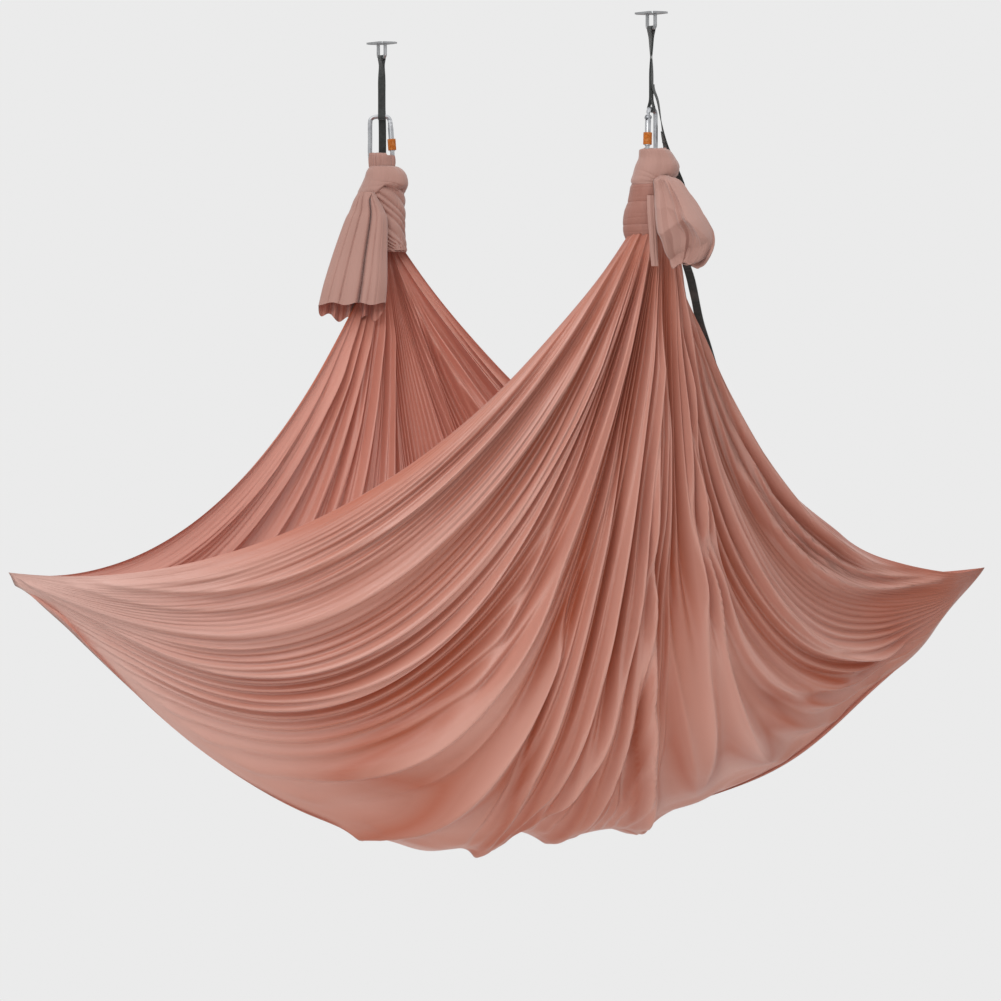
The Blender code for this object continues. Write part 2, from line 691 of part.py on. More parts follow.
# Ceiling plates
def build_ceiling_plate(side, anchor):
    steel = plate_material()
    place = Matrix.Translation(Vector(anchor) - Vector((0, 0, PLATE_THICKNESS / 2)))
    plate = block(side + "_ceiling_plate", place, (PLATE_WIDTH, PLATE_LENGTH, PLATE_THICKNESS), steel)
    bm = bmesh.new()
    bm.from_mesh(plate.data)
    upright = [e for e in bm.edges if abs(e.verts[0].co.z - e.verts[1].co.z) > PLATE_THICKNESS / 2]
    bmesh.ops.bevel(bm, geom=upright, offset=PLATE_CORNER, segments=5, affect="EDGES")
    bm.to_mesh(plate.data)
    bm.free()
    for x_way in (-1, 1):
        for y_way in (-1, 1):
            at = Vector(anchor) + Vector((x_way * (PLATE_WIDTH / 2 - PLATE_HOLE_INSET),
                                          y_way * (PLATE_LENGTH / 2 - PLATE_HOLE_INSET), 0))
            cutter = cylinder("screw_hole_cutter", at - Vector((0, 0, 2 * PLATE_THICKNESS)),
                              at + Vector((0, 0, PLATE_THICKNESS)), PLATE_HOLE, steel, CUTTERS, 20)
            boolean(plate, cutter)
    half = EYE_WIDTH / 2
    corner = [(half - EYE_CORNER * (1 - math.sin(a)), -EYE_DROP + EYE_CORNER * (1 - math.cos(a)))
              for a in np.linspace(math.pi / 2, 0, 6)]
    outline = [(half, -PLATE_THICKNESS - GAP)] + corner
    outline += [(-y, z) for y, z in reversed(outline)]
    points = [Vector(anchor) + Vector((0, y, z)) for y, z in outline]
    shade(tube(side + "_ceiling_eye", points, EYE_BAR, steel))
    shade(plate)


# Knots: bundles of gathered cloth, given in the photographed view
def bundle_mesh(origin, stations, flutes, depth, twist=0.0, sides=24, rows=2, grow=0.0, phase=0.0):
    """A lofted bundle; a station is (right, deep, z, half width, half depth)."""
    path = smooth_path(stations, rows)
    sections = []
    for i, (right, deep, z, wide, thick) in enumerate(path):
        share = i / (len(path) - 1)
        ring = []
        for j in range(sides):
            angle = 2 * math.pi * j / sides
            flute = 1 + depth * math.cos(flutes * angle + twist * share + phase)
            at_right = right + (wide * flute + grow) * math.cos(angle)
            at_deep = deep + (thick * flute + grow) * math.sin(angle)
            point = view_point((origin[0], origin[1], 0.0), at_right, at_deep, z)
            ring.append(point)
        sections.append(ring)
    return mesh_from_sections(sections)


def bundle(name, *args, collection=PARTS, **kwargs):
    return shade(add_object(name, bundle_mesh(*args, **kwargs), cloth_material(), collection), 50)


def wrap_ring(name, origin, centre, outer, thickness, height, tilt, lean, collection=PARTS, grow=0.0):
    """A turn of cloth round the knot: an oval ring, tilted in the view."""
    sections = []
    for i in range(WRAP_RINGS):
        angle = 2 * math.pi * i / WRAP_RINGS
        radial_right = math.cos(angle)
        radial_deep = math.sin(angle)
        swell = 1 + WRAP_SWELL * math.sin(3 * angle + 0.7)
        ring = []
        for j in range(WRAP_SIDES):
            turn = 2 * math.pi * j / WRAP_SIDES
            out = (thickness / 2 * swell + grow) * math.cos(turn)
            up = (height / 2 * swell + grow) * math.sin(turn)
            r_right = (outer[0] - thickness / 2 + out) * radial_right
            r_deep = (outer[1] - thickness / 2 + out) * radial_deep
            lifted = up + r_right * math.tan(tilt) + r_deep * math.tan(lean)
            ring.append(view_point((origin[0], origin[1], 0.0), centre[0] + r_right,
                                   centre[1] + r_deep, centre[2] + lifted))
        sections.append(ring)
    return shade(add_object(name, mesh_from_sections(sections, True), cloth_material(), collection), 50)


def cut_by(target, cutters):
    for cutter in cutters:
        boolean(target, cutter)
    return target


def swept(name, ends):
    """The convex solid round two positions of a piece, as a cutter for its whole travel."""
    bm = bmesh.new()
    for end in ends:
        for vert in end.data.vertices:
            bm.verts.new(vert.co)
        bpy.data.objects.remove(end, do_unlink=True)
    hull = bmesh.ops.convex_hull(bm, input=bm.verts)
    inner = [item for item in hull["geom_interior"] if isinstance(item, bmesh.types.BMVert)]
    bmesh.ops.delete(bm, geom=inner, context="VERTS")
    bmesh.ops.recalc_face_normals(bm, faces=bm.faces)
    mesh = bpy.data.meshes.new(name)
    bm.to_mesh(mesh)
    bm.free()
    return add_object(name, mesh, cloth_material(), CUTTERS)


def knot_height(collar_low, share):
    """A height in the knot: share 0 at the collar's lower edge and 1 at the cloth's mouth."""
    return collar_low + share * (MOUTH_Z - collar_low)


def knot_sizes(*values):
    """Sizes given in half widths of the collar, which sets the scale of the knots."""
    return tuple(value * COLLAR_HALF_WIDTH for value in values)


def knot_stations(collar_low, rows):
    """Stations (right, deep, knot share, half width, half depth), all but the share as knot sizes."""
    return [(*knot_sizes(right, deep), knot_height(collar_low, share), *knot_sizes(wide, thick))
            for right, deep, share, wide, thick in rows]


def mouth_in_view(mouth, anchor):
    """How far the mouth lies to the right of its anchor and behind it, as knot sizes."""
    step = (mouth - anchor) / COLLAR_HALF_WIDTH
    return float(np.dot(step, VIEW_RIGHT)), float(np.dot(step, VIEW_DEEP))


LEFT_CARABINER = carabiner_matrix(LEFT_ANCHOR, LEFT_CARABINER_TOP, VIEW_TURN)
RIGHT_CARABINER = carabiner_matrix(RIGHT_ANCHOR, RIGHT_CARABINER_TOP, RIGHT_CARABINER_TURN)


def build_collar(side, anchor, matrix, stations):
    """The gathered cloth over the carabiner's lower bar, open where the bar and sleeve run."""
    collar = bundle(side + "_knot_collar", anchor, stations, COLLAR_FLUTES, FLUTE_SHARE * 0.6, 0.5)
    bar = frame_bar("bar_cutter", matrix, BAR + GAP, CUTTERS, cloth_material())
    travel = [cylinder("travel_cutter", along_gate(matrix, gate_length() - 2 * SLEEVE_TRAVEL, opened),
                       along_gate(matrix, gate_length() + SLEEVE_TRAVEL, opened),
                       SLEEVE_RADIUS + 3 * GAP, cloth_material(), CUTTERS)
              for opened in (0, GATE_OPENING)]
    return cut_by(collar, [bar, swept("sweep_cutter", travel)])


def build_left_knot():
    collar_top = LEFT_CARABINER_TOP - CARABINER_HEIGHT + COLLAR_BELOW_BAR_END
    collar_low = collar_top - COLLAR_HEIGHT
    wide = COLLAR_HALF_WIDTH
    thick = COLLAR_HALF_DEPTH
    build_collar("left", LEFT_ANCHOR, LEFT_CARABINER, [
        (0, 0, collar_top, wide * 0.92, thick * 0.92),
        (0, 0, collar_top - COLLAR_HEIGHT * 0.3, wide, thick),
        (0, 0, collar_low + COLLAR_HEIGHT * 0.2, wide, thick),
        (0, 0, collar_low, wide * 0.86, thick * 0.95)])
    mouth_right, mouth_deep = mouth_in_view(LEFT_MOUTH, LEFT_ANCHOR)
    neck_radius = LEFT_MOUTH_RADIUS + CLOTH_WALL
    neck_rows = knot_stations(collar_low, [
        (0, -0.129, 0.230, 1.0, 0.903),
        (0.3 * mouth_right, 0.4 * mouth_deep, 0.453, 1.226, 1.097),
        (0.7 * mouth_right, 0.75 * mouth_deep, 0.732, 1.290, 1.161)])
    neck_rows.insert(0, (0, 0, collar_low - GAP, *knot_sizes(0.839, 0.677)))
    neck_rows.append((*knot_sizes(mouth_right, mouth_deep), MOUTH_Z + GAP, neck_radius, neck_radius))
    bundle("left_knot_neck", LEFT_ANCHOR, neck_rows, NECK_FLUTES, FLUTE_SHARE * 0.7, 2.5)
    neck_room = bundle("neck_cutter", LEFT_ANCHOR, neck_rows, NECK_FLUTES, FLUTE_SHARE * 0.7, 2.5,
                       collection=CUTTERS, grow=2 * GAP)
    upper = dict(origin=LEFT_ANCHOR, centre=(*knot_sizes(0.032, -0.129), knot_height(collar_low, 0.157)),
                 outer=knot_sizes(2.000, 1.613), thickness=0.968 * COLLAR_HALF_WIDTH,
                 height=1.613 * COLLAR_HALF_WIDTH, tilt=-0.2, lean=0.12)
    lower = dict(origin=LEFT_ANCHOR, centre=(*knot_sizes(0.226, -0.484), knot_height(collar_low, 0.515)),
                 outer=knot_sizes(1.839, 1.742), thickness=0.968 * COLLAR_HALF_WIDTH,
                 height=1.484 * COLLAR_HALF_WIDTH, tilt=0.12, lean=0.05)
    cut_by(wrap_ring("left_knot_upper_wrap", **upper), [neck_room])
    upper_room = wrap_ring("upper_cutter", collection=CUTTERS, grow=2 * GAP, **upper)
    cut_by(wrap_ring("left_knot_lower_wrap", **lower), [neck_room, upper_room])
    lower_room = wrap_ring("lower_cutter", collection=CUTTERS, grow=2 * GAP, **lower)
    tail = bundle("left_tail", LEFT_ANCHOR, knot_stations(collar_low, [
        (-0.710, -1.548, 0.202, 0.645, 0.323),
        (-1.032, -2.194, 0.425, 1.097, 0.419),
        (-1.419, -2.903, 0.760, 1.645, 0.484),
        (-1.742, -3.774, 1.262, 2.032, 0.452),
        (-1.968, -5.226, 1.709, 2.355, 0.452),
        (-2.000, -5.871, 1.915, 2.452, 0.452)]), TAIL_FLUTES, FLUTE_SHARE * 1.4, 0.4)
    cut_by(tail, [upper_room, lower_room, neck_room])


def build_right_knot():
    collar_top = RIGHT_CARABINER_TOP - CARABINER_HEIGHT + COLLAR_BELOW_BAR_END
    collar_low = collar_top - COLLAR_HEIGHT
    wide = COLLAR_HALF_WIDTH
    thick = COLLAR_HALF_DEPTH
    build_collar("right", RIGHT_ANCHOR, RIGHT_CARABINER, [
        (wide * 0.23, 0, collar_top, thick * 1.1, wide * 0.92),
        (wide * 0.26, 0, collar_top - COLLAR_HEIGHT * 0.3, thick * 1.2, wide),
        (wide * 0.26, 0, collar_low + COLLAR_HEIGHT * 0.2, thick * 1.2, wide),
        (wide * 0.19, 0, collar_low, thick * 1.1, wide * 0.9)])
    mouth_right, mouth_deep = mouth_in_view(RIGHT_MOUTH, RIGHT_ANCHOR)
    neck_radius = RIGHT_MOUTH_RADIUS + CLOTH_WALL
    neck_rows = knot_stations(collar_low, [
        (0.129, 0, 0.235, 1.032, 1.032),
        (0.3 * mouth_right, 0.4 * mouth_deep, 0.483, 1.226, 1.194),
        (0.8 * mouth_right, 0.8 * mouth_deep, 0.766, 1.419, 1.419)])
    neck_rows.insert(0, (*knot_sizes(0.194, 0), collar_low - GAP, *knot_sizes(0.774, 0.871)))
    neck_rows.append((*knot_sizes(mouth_right, mouth_deep), MOUTH_Z + GAP, neck_radius, neck_radius))
    bundle("right_knot_neck", RIGHT_ANCHOR, neck_rows, NECK_FLUTES, FLUTE_SHARE * 0.7, -2.0)
    neck_room = bundle("neck_cutter", RIGHT_ANCHOR, neck_rows, NECK_FLUTES, FLUTE_SHARE * 0.7, -2.0,
                       collection=CUTTERS, grow=2 * GAP)
    upper = dict(origin=RIGHT_ANCHOR, centre=(*knot_sizes(0.355, 0.000), knot_height(collar_low, 0.178)),
                 outer=knot_sizes(1.645, 1.516), thickness=0.903 * COLLAR_HALF_WIDTH,
                 height=1.290 * COLLAR_HALF_WIDTH, tilt=0.22, lean=0.08)
    lower = dict(origin=RIGHT_ANCHOR, centre=(*knot_sizes(-0.161, 0.194), knot_height(collar_low, 0.568)),
                 outer=knot_sizes(1.839, 1.774), thickness=0.774 * COLLAR_HALF_WIDTH,
                 height=1.806 * COLLAR_HALF_WIDTH, tilt=-0.12, lean=0.05)
    cut_by(wrap_ring("right_knot_upper_wrap", **upper), [neck_room])
    upper_room = wrap_ring("upper_cutter", collection=CUTTERS, grow=2 * GAP, **upper)
    cut_by(wrap_ring("right_knot_lower_wrap", **lower), [neck_room, upper_room])
    lower_room = wrap_ring("lower_cutter", collection=CUTTERS, grow=2 * GAP, **lower)
    tail = bundle("right_tail", RIGHT_ANCHOR, knot_stations(collar_low, [
        (1.032, -1.290, 0.164, 0.581, 0.387),
        (1.613, -1.935, 0.377, 1.097, 0.581),
        (2.000, -2.645, 0.695, 1.516, 0.806),
        (2.387, -3.032, 1.050, 1.871, 0.903),
        (2.258, -3.161, 1.368, 1.806, 0.839),
        (1.484, -3.032, 1.567, 1.161, 0.581)]), TAIL_FLUTES, FLUTE_SHARE * 1.4, 1.5)
    cut_by(tail, [upper_room, lower_room, neck_room])


def build_side(side, anchor, matrix, top, turn, route, tacks):
    build_ceiling_plate(side, anchor)
    build_carabiner(side, matrix)
    eye = anchor + np.array([0, 0, -EYE_DROP])
    crown = anchor + np.array([0, 0, top - BAR])
    strap_loop(side + "_strap_loop", eye, crown, turn)
    strap_tail(side, anchor, top, route, tacks)


# The spare straps' routes, in carabiner heights: each starts on the loop's outer leg
LEG_STEP = ((WEBBING_THICKNESS + LEG_GAP) / 2 + WEBBING_THICKNESS + GAP) / CARABINER_HEIGHT
TAKE_OFF = WEBBING_THICKNESS / CARABINER_HEIGHT
ACROSS_VIEW = VIEW_TURN
LEFT_ROUTE = [
    (0, LEG_STEP, 0.357, ACROSS_VIEW),
    (0, LEG_STEP + TAKE_OFF, 0.268, ACROSS_VIEW),
    (0, 0.107, 0.107, ACROSS_VIEW),
    (0.009, 0.196, -0.232, ACROSS_VIEW),
    (0.009, 0.321, -0.768, ACROSS_VIEW),
    (0, 0.518, -1.214, ACROSS_VIEW),
    (0, 0.607, -1.750, ACROSS_VIEW),
    (0, 0.625, -2.554, ACROSS_VIEW),
    (0, 0.598, -3.446, ACROSS_VIEW),
    (0, 0.571, -4.607, ACROSS_VIEW),
    (0, 0.554, -5.679, ACROSS_VIEW)]
RIGHT_LEG_TURN = RIGHT_CARABINER_TURN
RIGHT_LEG_OUT = -np.array([math.sin(RIGHT_LEG_TURN), -math.cos(RIGHT_LEG_TURN), 0.0])
LEG_RIGHT = float(np.dot(RIGHT_LEG_OUT, VIEW_RIGHT)) * LEG_STEP
LEG_DEEP = float(np.dot(RIGHT_LEG_OUT, VIEW_DEEP)) * LEG_STEP
RIGHT_ROUTE = [
    (LEG_RIGHT, LEG_DEEP, 0.429, RIGHT_LEG_TURN),
    (LEG_RIGHT + TAKE_OFF, LEG_DEEP, 0.321, RIGHT_LEG_TURN),
    (0.125, 0.018, 0.107, RIGHT_LEG_TURN + 0.10),
    (0.196, 0.107, -0.295, RIGHT_LEG_TURN + 0.35),
    (0.429, 0.321, -0.723, RIGHT_LEG_TURN + 0.80),
    (0.589, 0.500, -1.188, RIGHT_LEG_TURN + 1.30),
    (0.616, 0.589, -1.768, RIGHT_LEG_TURN + 1.70),
    (0.607, 0.714, -2.393, RIGHT_LEG_TURN + 1.94),
    (0.679, 0.893, -2.902, RIGHT_LEG_TURN + 1.94),
    (0.804, 1.179, -3.304, RIGHT_LEG_TURN + 1.94),
    (0.964, 1.696, -4.009, RIGHT_LEG_TURN + 1.94),
    (1.125, 2.071, -4.491, RIGHT_LEG_TURN + 1.94),
    (1.304, 2.545, -5.071, RIGHT_LEG_TURN + 1.94),
    (1.482, 3.170, -5.786, RIGHT_LEG_TURN + 1.94)]

build_side("left", LEFT_ANCHOR, LEFT_CARABINER, LEFT_CARABINER_TOP, VIEW_TURN, LEFT_ROUTE,
           (0.18, 0.32, 0.46, 0.60, 0.74, 0.88))
build_side("right", RIGHT_ANCHOR, RIGHT_CARABINER, RIGHT_CARABINER_TOP, RIGHT_CARABINER_TURN,
           RIGHT_ROUTE, (0.16, 0.28, 0.40, 0.51, 0.62, 0.73, 0.84, 0.94))
build_left_knot()
build_right_knot()
build_cloth()
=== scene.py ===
# %% [markdown]
# # An aerial yoga hammock
# One wide cloth of satin tricot hangs in a fan from two knots.  Each knot sits on a screw-lock
# carabiner, and each carabiner hangs on a strap of black webbing.  The hard pieces come from the
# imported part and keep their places; the cloth, the knots and the webbing are built here.

# %% Load the frame
import json
import math

import bpy
import numpy as np
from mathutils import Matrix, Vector


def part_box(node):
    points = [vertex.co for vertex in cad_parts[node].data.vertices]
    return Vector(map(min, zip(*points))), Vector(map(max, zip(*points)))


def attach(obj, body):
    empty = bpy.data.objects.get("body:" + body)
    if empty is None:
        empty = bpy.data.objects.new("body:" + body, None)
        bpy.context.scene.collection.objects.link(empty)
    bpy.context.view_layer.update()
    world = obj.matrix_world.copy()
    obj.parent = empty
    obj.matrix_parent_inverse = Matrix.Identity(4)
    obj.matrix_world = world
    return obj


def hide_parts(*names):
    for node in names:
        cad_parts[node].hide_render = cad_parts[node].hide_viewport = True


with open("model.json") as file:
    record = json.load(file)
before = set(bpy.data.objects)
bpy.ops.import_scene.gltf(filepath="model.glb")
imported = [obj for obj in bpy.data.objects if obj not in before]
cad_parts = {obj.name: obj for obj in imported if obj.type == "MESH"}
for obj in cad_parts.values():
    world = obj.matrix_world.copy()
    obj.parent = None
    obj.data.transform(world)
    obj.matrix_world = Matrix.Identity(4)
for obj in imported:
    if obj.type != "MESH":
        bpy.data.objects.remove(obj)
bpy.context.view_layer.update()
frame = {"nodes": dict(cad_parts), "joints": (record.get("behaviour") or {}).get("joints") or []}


# %% [markdown]
# ## The camera
# The picture plane is turned 30 degrees from the line between the cloth's two tips, and the view is
# level with the middle of the cloth.  A long lens from far away keeps the two knots almost the same
# size, as a telephoto picture does.  Lengths are in metres unless a name says millimetres.

# %% The camera
VIEW_TURN = math.radians(-30.0)
VIEW_RIGHT = np.array([math.cos(VIEW_TURN), math.sin(VIEW_TURN), 0.0])
VIEW_DEEP = np.array([-math.sin(VIEW_TURN), math.cos(VIEW_TURN), 0.0])
UP = np.array([0.0, 0.0, 1.0])
CAMERA_FAR = 16.0
CAMERA_Z = -1.04
CAMERA_LEFT = 0.0325
CLIP_END = 100.0
MIDDLE_Y = -0.604
SENSOR_MM = 36.0
LENS_MM = 261.8

camera_data = bpy.data.cameras.new("photo_camera")
camera_data.sensor_width = SENSOR_MM
camera_data.lens = LENS_MM
camera_data.clip_end = CLIP_END
camera = bpy.data.objects.new("photo_camera", camera_data)
bpy.context.scene.collection.objects.link(camera)
looks_at = np.array([0.0, MIDDLE_Y, CAMERA_Z]) - CAMERA_LEFT * VIEW_RIGHT
camera.location = looks_at - CAMERA_FAR * VIEW_DEEP
camera.rotation_euler = (math.pi / 2, 0.0, VIEW_TURN)
bpy.context.scene.camera = camera
print("camera at", [round(value, 3) for value in camera.location])

# %% [markdown]
# ## Tools
# Cloth could be pulled into shape by hand or by a simulation.  Here every soft piece is a grid of
# points that is worked out from a formula: one array of shape (columns, rows, 3), which can be
# measured and changed in one place.  The first helper turns such an array into a mesh, joins its last
# column to its first if asked, and stores values at its points for the material to read.

# %% A grid becomes a mesh, and two soft curves


def grid_mesh(name, points, closed=False, values=None, uv=None):
    """Quads between the neighbouring points of a (columns, rows, 3) array, smooth shaded."""
    columns, rows = points.shape[:2]
    index = np.arange(columns * rows).reshape(columns, rows)
    if closed:
        index = np.concatenate([index, index[:1]], axis=0)
    corners = np.stack([index[:-1, :-1], index[1:, :-1], index[1:, 1:], index[:-1, 1:]], axis=-1)
    corners = corners.reshape(-1, 4)
    mesh = bpy.data.meshes.new(name)
    mesh.vertices.add(columns * rows)
    mesh.vertices.foreach_set("co", points.reshape(-1).astype(np.float32))
    mesh.loops.add(corners.size)
    mesh.loops.foreach_set("vertex_index", corners.reshape(-1).astype(np.int32))
    mesh.polygons.add(len(corners))
    mesh.polygons.foreach_set("loop_start", np.arange(0, corners.size, 4, dtype=np.int32))
    mesh.polygons.foreach_set("loop_total", np.full(len(corners), 4, dtype=np.int32))
    mesh.update(calc_edges=True)
    mesh.validate()
    for key, value in (values or {}).items():
        layer = mesh.attributes.new(key, "FLOAT", "POINT")
        layer.data.foreach_set("value", np.asarray(value, np.float32).reshape(-1))
    if uv is not None:
        layer = mesh.uv_layers.new(name="flat")
        at_corners = uv.reshape(-1, 2)[corners.reshape(-1)]
        layer.data.foreach_set("uv", at_corners.astype(np.float32).reshape(-1))
    mesh.shade_smooth()
    made = bpy.data.objects.new(name, mesh)
    bpy.context.scene.collection.objects.link(made)
    return made


def smooth_step(low, high, value):
    """0 below low, 1 above high, and a soft S between them."""
    t = np.clip((value - low) / (high - low), 0, 1)
    return t * t * (3 - 2 * t)


def bell(value, middle, width):
    """1 at the middle, falling off on both sides as exp of minus the square of distance by width."""
    return np.exp(-((value - middle) / width) ** 2)


# %% [markdown]
# ## Finishes
# The cloth is a satin knit, the straps are woven, and the hard pieces are tumbled, anodised or zinc
# plated metal.  Three effects are shared, so each is a node group that is built once and placed in
# each material that needs it with its own values.  `weave` draws threads that pass over and under each other,
# `grain` is a cloudy mask for handling and dust, and `knurl` cuts small diamonds round a sleeve.
# Groups put out heights and masks only, and the shader itself stays in the material.

# %% Helpers for nodes


def link_or_set(tree, socket, value):
    """Feeds a socket from another node's output, or writes a plain number or colour into it."""
    if isinstance(value, bpy.types.NodeSocket):
        tree.links.new(value, socket)
    else:
        socket.default_value = value


def maths(tree, operation, *values):
    """One Math node, whose inputs are numbers or outputs of other nodes."""
    node = tree.nodes.new("ShaderNodeMath")
    node.operation = operation
    for socket, value in zip(node.inputs, values):
        link_or_set(tree, socket, value)
    return node.outputs[0]


def new_group(name, inputs, output):
    """An empty node group with a Vector input, some number inputs and one output."""
    group = bpy.data.node_groups.new(name, "ShaderNodeTree")
    group.interface.new_socket("Vector", in_out="INPUT", socket_type="NodeSocketVector")
    for label, value in inputs:
        socket = group.interface.new_socket(label, in_out="INPUT", socket_type="NodeSocketFloat")
        socket.default_value = value
    group.interface.new_socket(output, in_out="OUTPUT", socket_type="NodeSocketFloat")
    enter = group.nodes.new("NodeGroupInput")
    leave = group.nodes.new("NodeGroupOutput")
    return group, enter.outputs, leave.inputs[0]


# %% Weave, grain and knurl
weave, given, height = new_group("weave", [("Across", 1000.0), ("Along", 1000.0)], "Height")
split = weave.nodes.new("ShaderNodeSeparateXYZ")
weave.links.new(given["Vector"], split.inputs[0])
across = maths(weave, "MULTIPLY", split.outputs["X"], given["Across"])
along = maths(weave, "MULTIPLY", split.outputs["Y"], given["Along"])


def thread(own_way, other_way, shift):
    """A round thread, |sin|, that rises and dips along its length, one thread out of step with the next."""
    round_back = maths(weave, "ABSOLUTE", maths(weave, "SINE", maths(weave, "MULTIPLY", own_way, math.pi)))
    step = maths(weave, "ADD", maths(weave, "FLOOR", own_way), maths(weave, "ADD", other_way, shift))
    rise = maths(weave, "COSINE", maths(weave, "MULTIPLY", step, math.pi))
    return maths(weave, "MULTIPLY", round_back, maths(weave, "MULTIPLY_ADD", rise, 0.5, 0.5))


warp = thread(across, along, -0.5)
weft = thread(along, across, 0.5)
weave.links.new(maths(weave, "MAXIMUM", warp, weft), height)

grain, given, mask = new_group("grain", [("Scale", 60.0), ("Low", 0.35), ("High", 0.7)], "Mask")
cloud = grain.nodes.new("ShaderNodeTexNoise")
cloud.inputs["Detail"].default_value = 5.0
cloud.inputs["Roughness"].default_value = 0.62
grain.links.new(given["Vector"], cloud.inputs["Vector"])
grain.links.new(given["Scale"], cloud.inputs["Scale"])
spread = grain.nodes.new("ShaderNodeMapRange")
spread.interpolation_type = "SMOOTHSTEP"
grain.links.new(cloud.outputs["Fac"], spread.inputs["Value"])
grain.links.new(given["Low"], spread.inputs["From Min"])
grain.links.new(given["High"], spread.inputs["From Max"])
grain.links.new(spread.outputs["Result"], mask)

knurl, given, height = new_group("knurl", [("Around", 20.0), ("Pitch", 0.0024)], "Height")
split = knurl.nodes.new("ShaderNodeSeparateXYZ")
knurl.links.new(given["Vector"], split.inputs[0])
angle = maths(knurl, "ARCTAN2", split.outputs["Y"], split.outputs["X"])
turns = maths(knurl, "MULTIPLY", maths(knurl, "DIVIDE", angle, 2.0), given["Around"])
down_axis = maths(knurl, "MULTIPLY", maths(knurl, "DIVIDE", split.outputs["Z"], given["Pitch"]), math.pi)
rising = maths(knurl, "ABSOLUTE", maths(knurl, "SINE", maths(knurl, "ADD", turns, down_axis)))
falling = maths(knurl, "ABSOLUTE", maths(knurl, "SINE", maths(knurl, "SUBTRACT", turns, down_axis)))
knurl.links.new(maths(knurl, "MULTIPLY", rising, falling), height)
print("node groups:", [group.name for group in bpy.data.node_groups])

# %% Helpers for materials


def new_material(name, colour, roughness, metallic=0.0):
    """A Principled material; returns it with its node tree and its shader."""
    made = bpy.data.materials.new(name)
    made.use_nodes = True
    shader = made.node_tree.nodes["Principled BSDF"]
    shader.inputs["Base Color"].default_value = (*colour, 1)
    shader.inputs["Roughness"].default_value = roughness
    shader.inputs["Metallic"].default_value = metallic
    return made, made.node_tree, shader


def place(tree, group, vector, **values):
    """A shared group in this material, with its own values; returns the group's output."""
    node = tree.nodes.new("ShaderNodeGroup")
    node.node_tree = group
    tree.links.new(vector, node.inputs["Vector"])
    for label, value in values.items():
        node.inputs[label.capitalize()].default_value = value
    return node.outputs[0]


def flat_way(tree, scale=(1.0, 1.0, 1.0)):
    """The piece's flat sizes in metres, as its UV map stores them, stretched by a scale."""
    uv = tree.nodes.new("ShaderNodeUVMap")
    uv.uv_map = "flat"
    mapping = tree.nodes.new("ShaderNodeMapping")
    mapping.inputs["Scale"].default_value = scale
    tree.links.new(uv.outputs["UV"], mapping.inputs["Vector"])
    return mapping.outputs[0]


def object_way(tree, scale=(1.0, 1.0, 1.0)):
    """Object coordinates in metres, stretched by a scale."""
    coordinates = tree.nodes.new("ShaderNodeTexCoord")
    mapping = tree.nodes.new("ShaderNodeMapping")
    mapping.inputs["Scale"].default_value = scale
    tree.links.new(coordinates.outputs["Object"], mapping.inputs["Vector"])
    return mapping.outputs[0]


# %% Helpers for colours, bumps and masks


def blend_colours(tree, mask, first, second):
    """The first colour where the mask is 0 and the second where it is 1."""
    mix = tree.nodes.new("ShaderNodeMix")
    mix.data_type = "RGBA"
    tree.links.new(mask, mix.inputs["Factor"])
    for socket, colour in ((mix.inputs[6], first), (mix.inputs[7], second)):
        link_or_set(tree, socket, colour if isinstance(colour, bpy.types.NodeSocket) else (*colour, 1))
    return mix.outputs[2]


def between(tree, mask, low, high):
    """A number that runs from low to high as the mask runs from 0 to 1."""
    return maths(tree, "MULTIPLY_ADD", mask, high - low, low)


def raise_surface(tree, shader, *layers):
    """Bump nodes in a chain, one for each (height, strength, distance in metres)."""
    normal = None
    for height, strength, distance in layers:
        bump = tree.nodes.new("ShaderNodeBump")
        bump.inputs["Strength"].default_value = strength
        bump.inputs["Distance"].default_value = distance
        tree.links.new(height, bump.inputs["Height"])
        if normal is not None:
            tree.links.new(normal, bump.inputs["Normal"])
        normal = bump.outputs["Normal"]
    tree.links.new(normal, shader.inputs["Normal"])


def stored(tree, name):
    """The value that the mesh stores at each point under this name."""
    node = tree.nodes.new("ShaderNodeAttribute")
    node.attribute_name = name
    return node.outputs["Fac"]


def ramp(tree, value, low, high):
    """0 up to low, 1 from high on, and a straight line between them."""
    node = tree.nodes.new("ShaderNodeMapRange")
    node.inputs["From Min"].default_value = low
    node.inputs["From Max"].default_value = high
    tree.links.new(value, node.inputs["Value"])
    return node.outputs["Result"]


def streaks(tree, vector, detail, distortion=0.0):
    """Noise whose spots are as long and as wide as the vector's scale stretches them."""
    node = tree.nodes.new("ShaderNodeTexNoise")
    node.inputs["Scale"].default_value = 1.0
    node.inputs["Detail"].default_value = detail
    node.inputs["Distortion"].default_value = distortion
    tree.links.new(vector, node.inputs["Vector"])
    return node.outputs["Fac"]


def feed(tree, shader, colour, roughness=None):
    """Links a colour that changes over the surface, and a roughness where one is given."""
    tree.links.new(colour, shader.inputs["Base Color"])
    if roughness is not None:
        tree.links.new(roughness, shader.inputs["Roughness"])
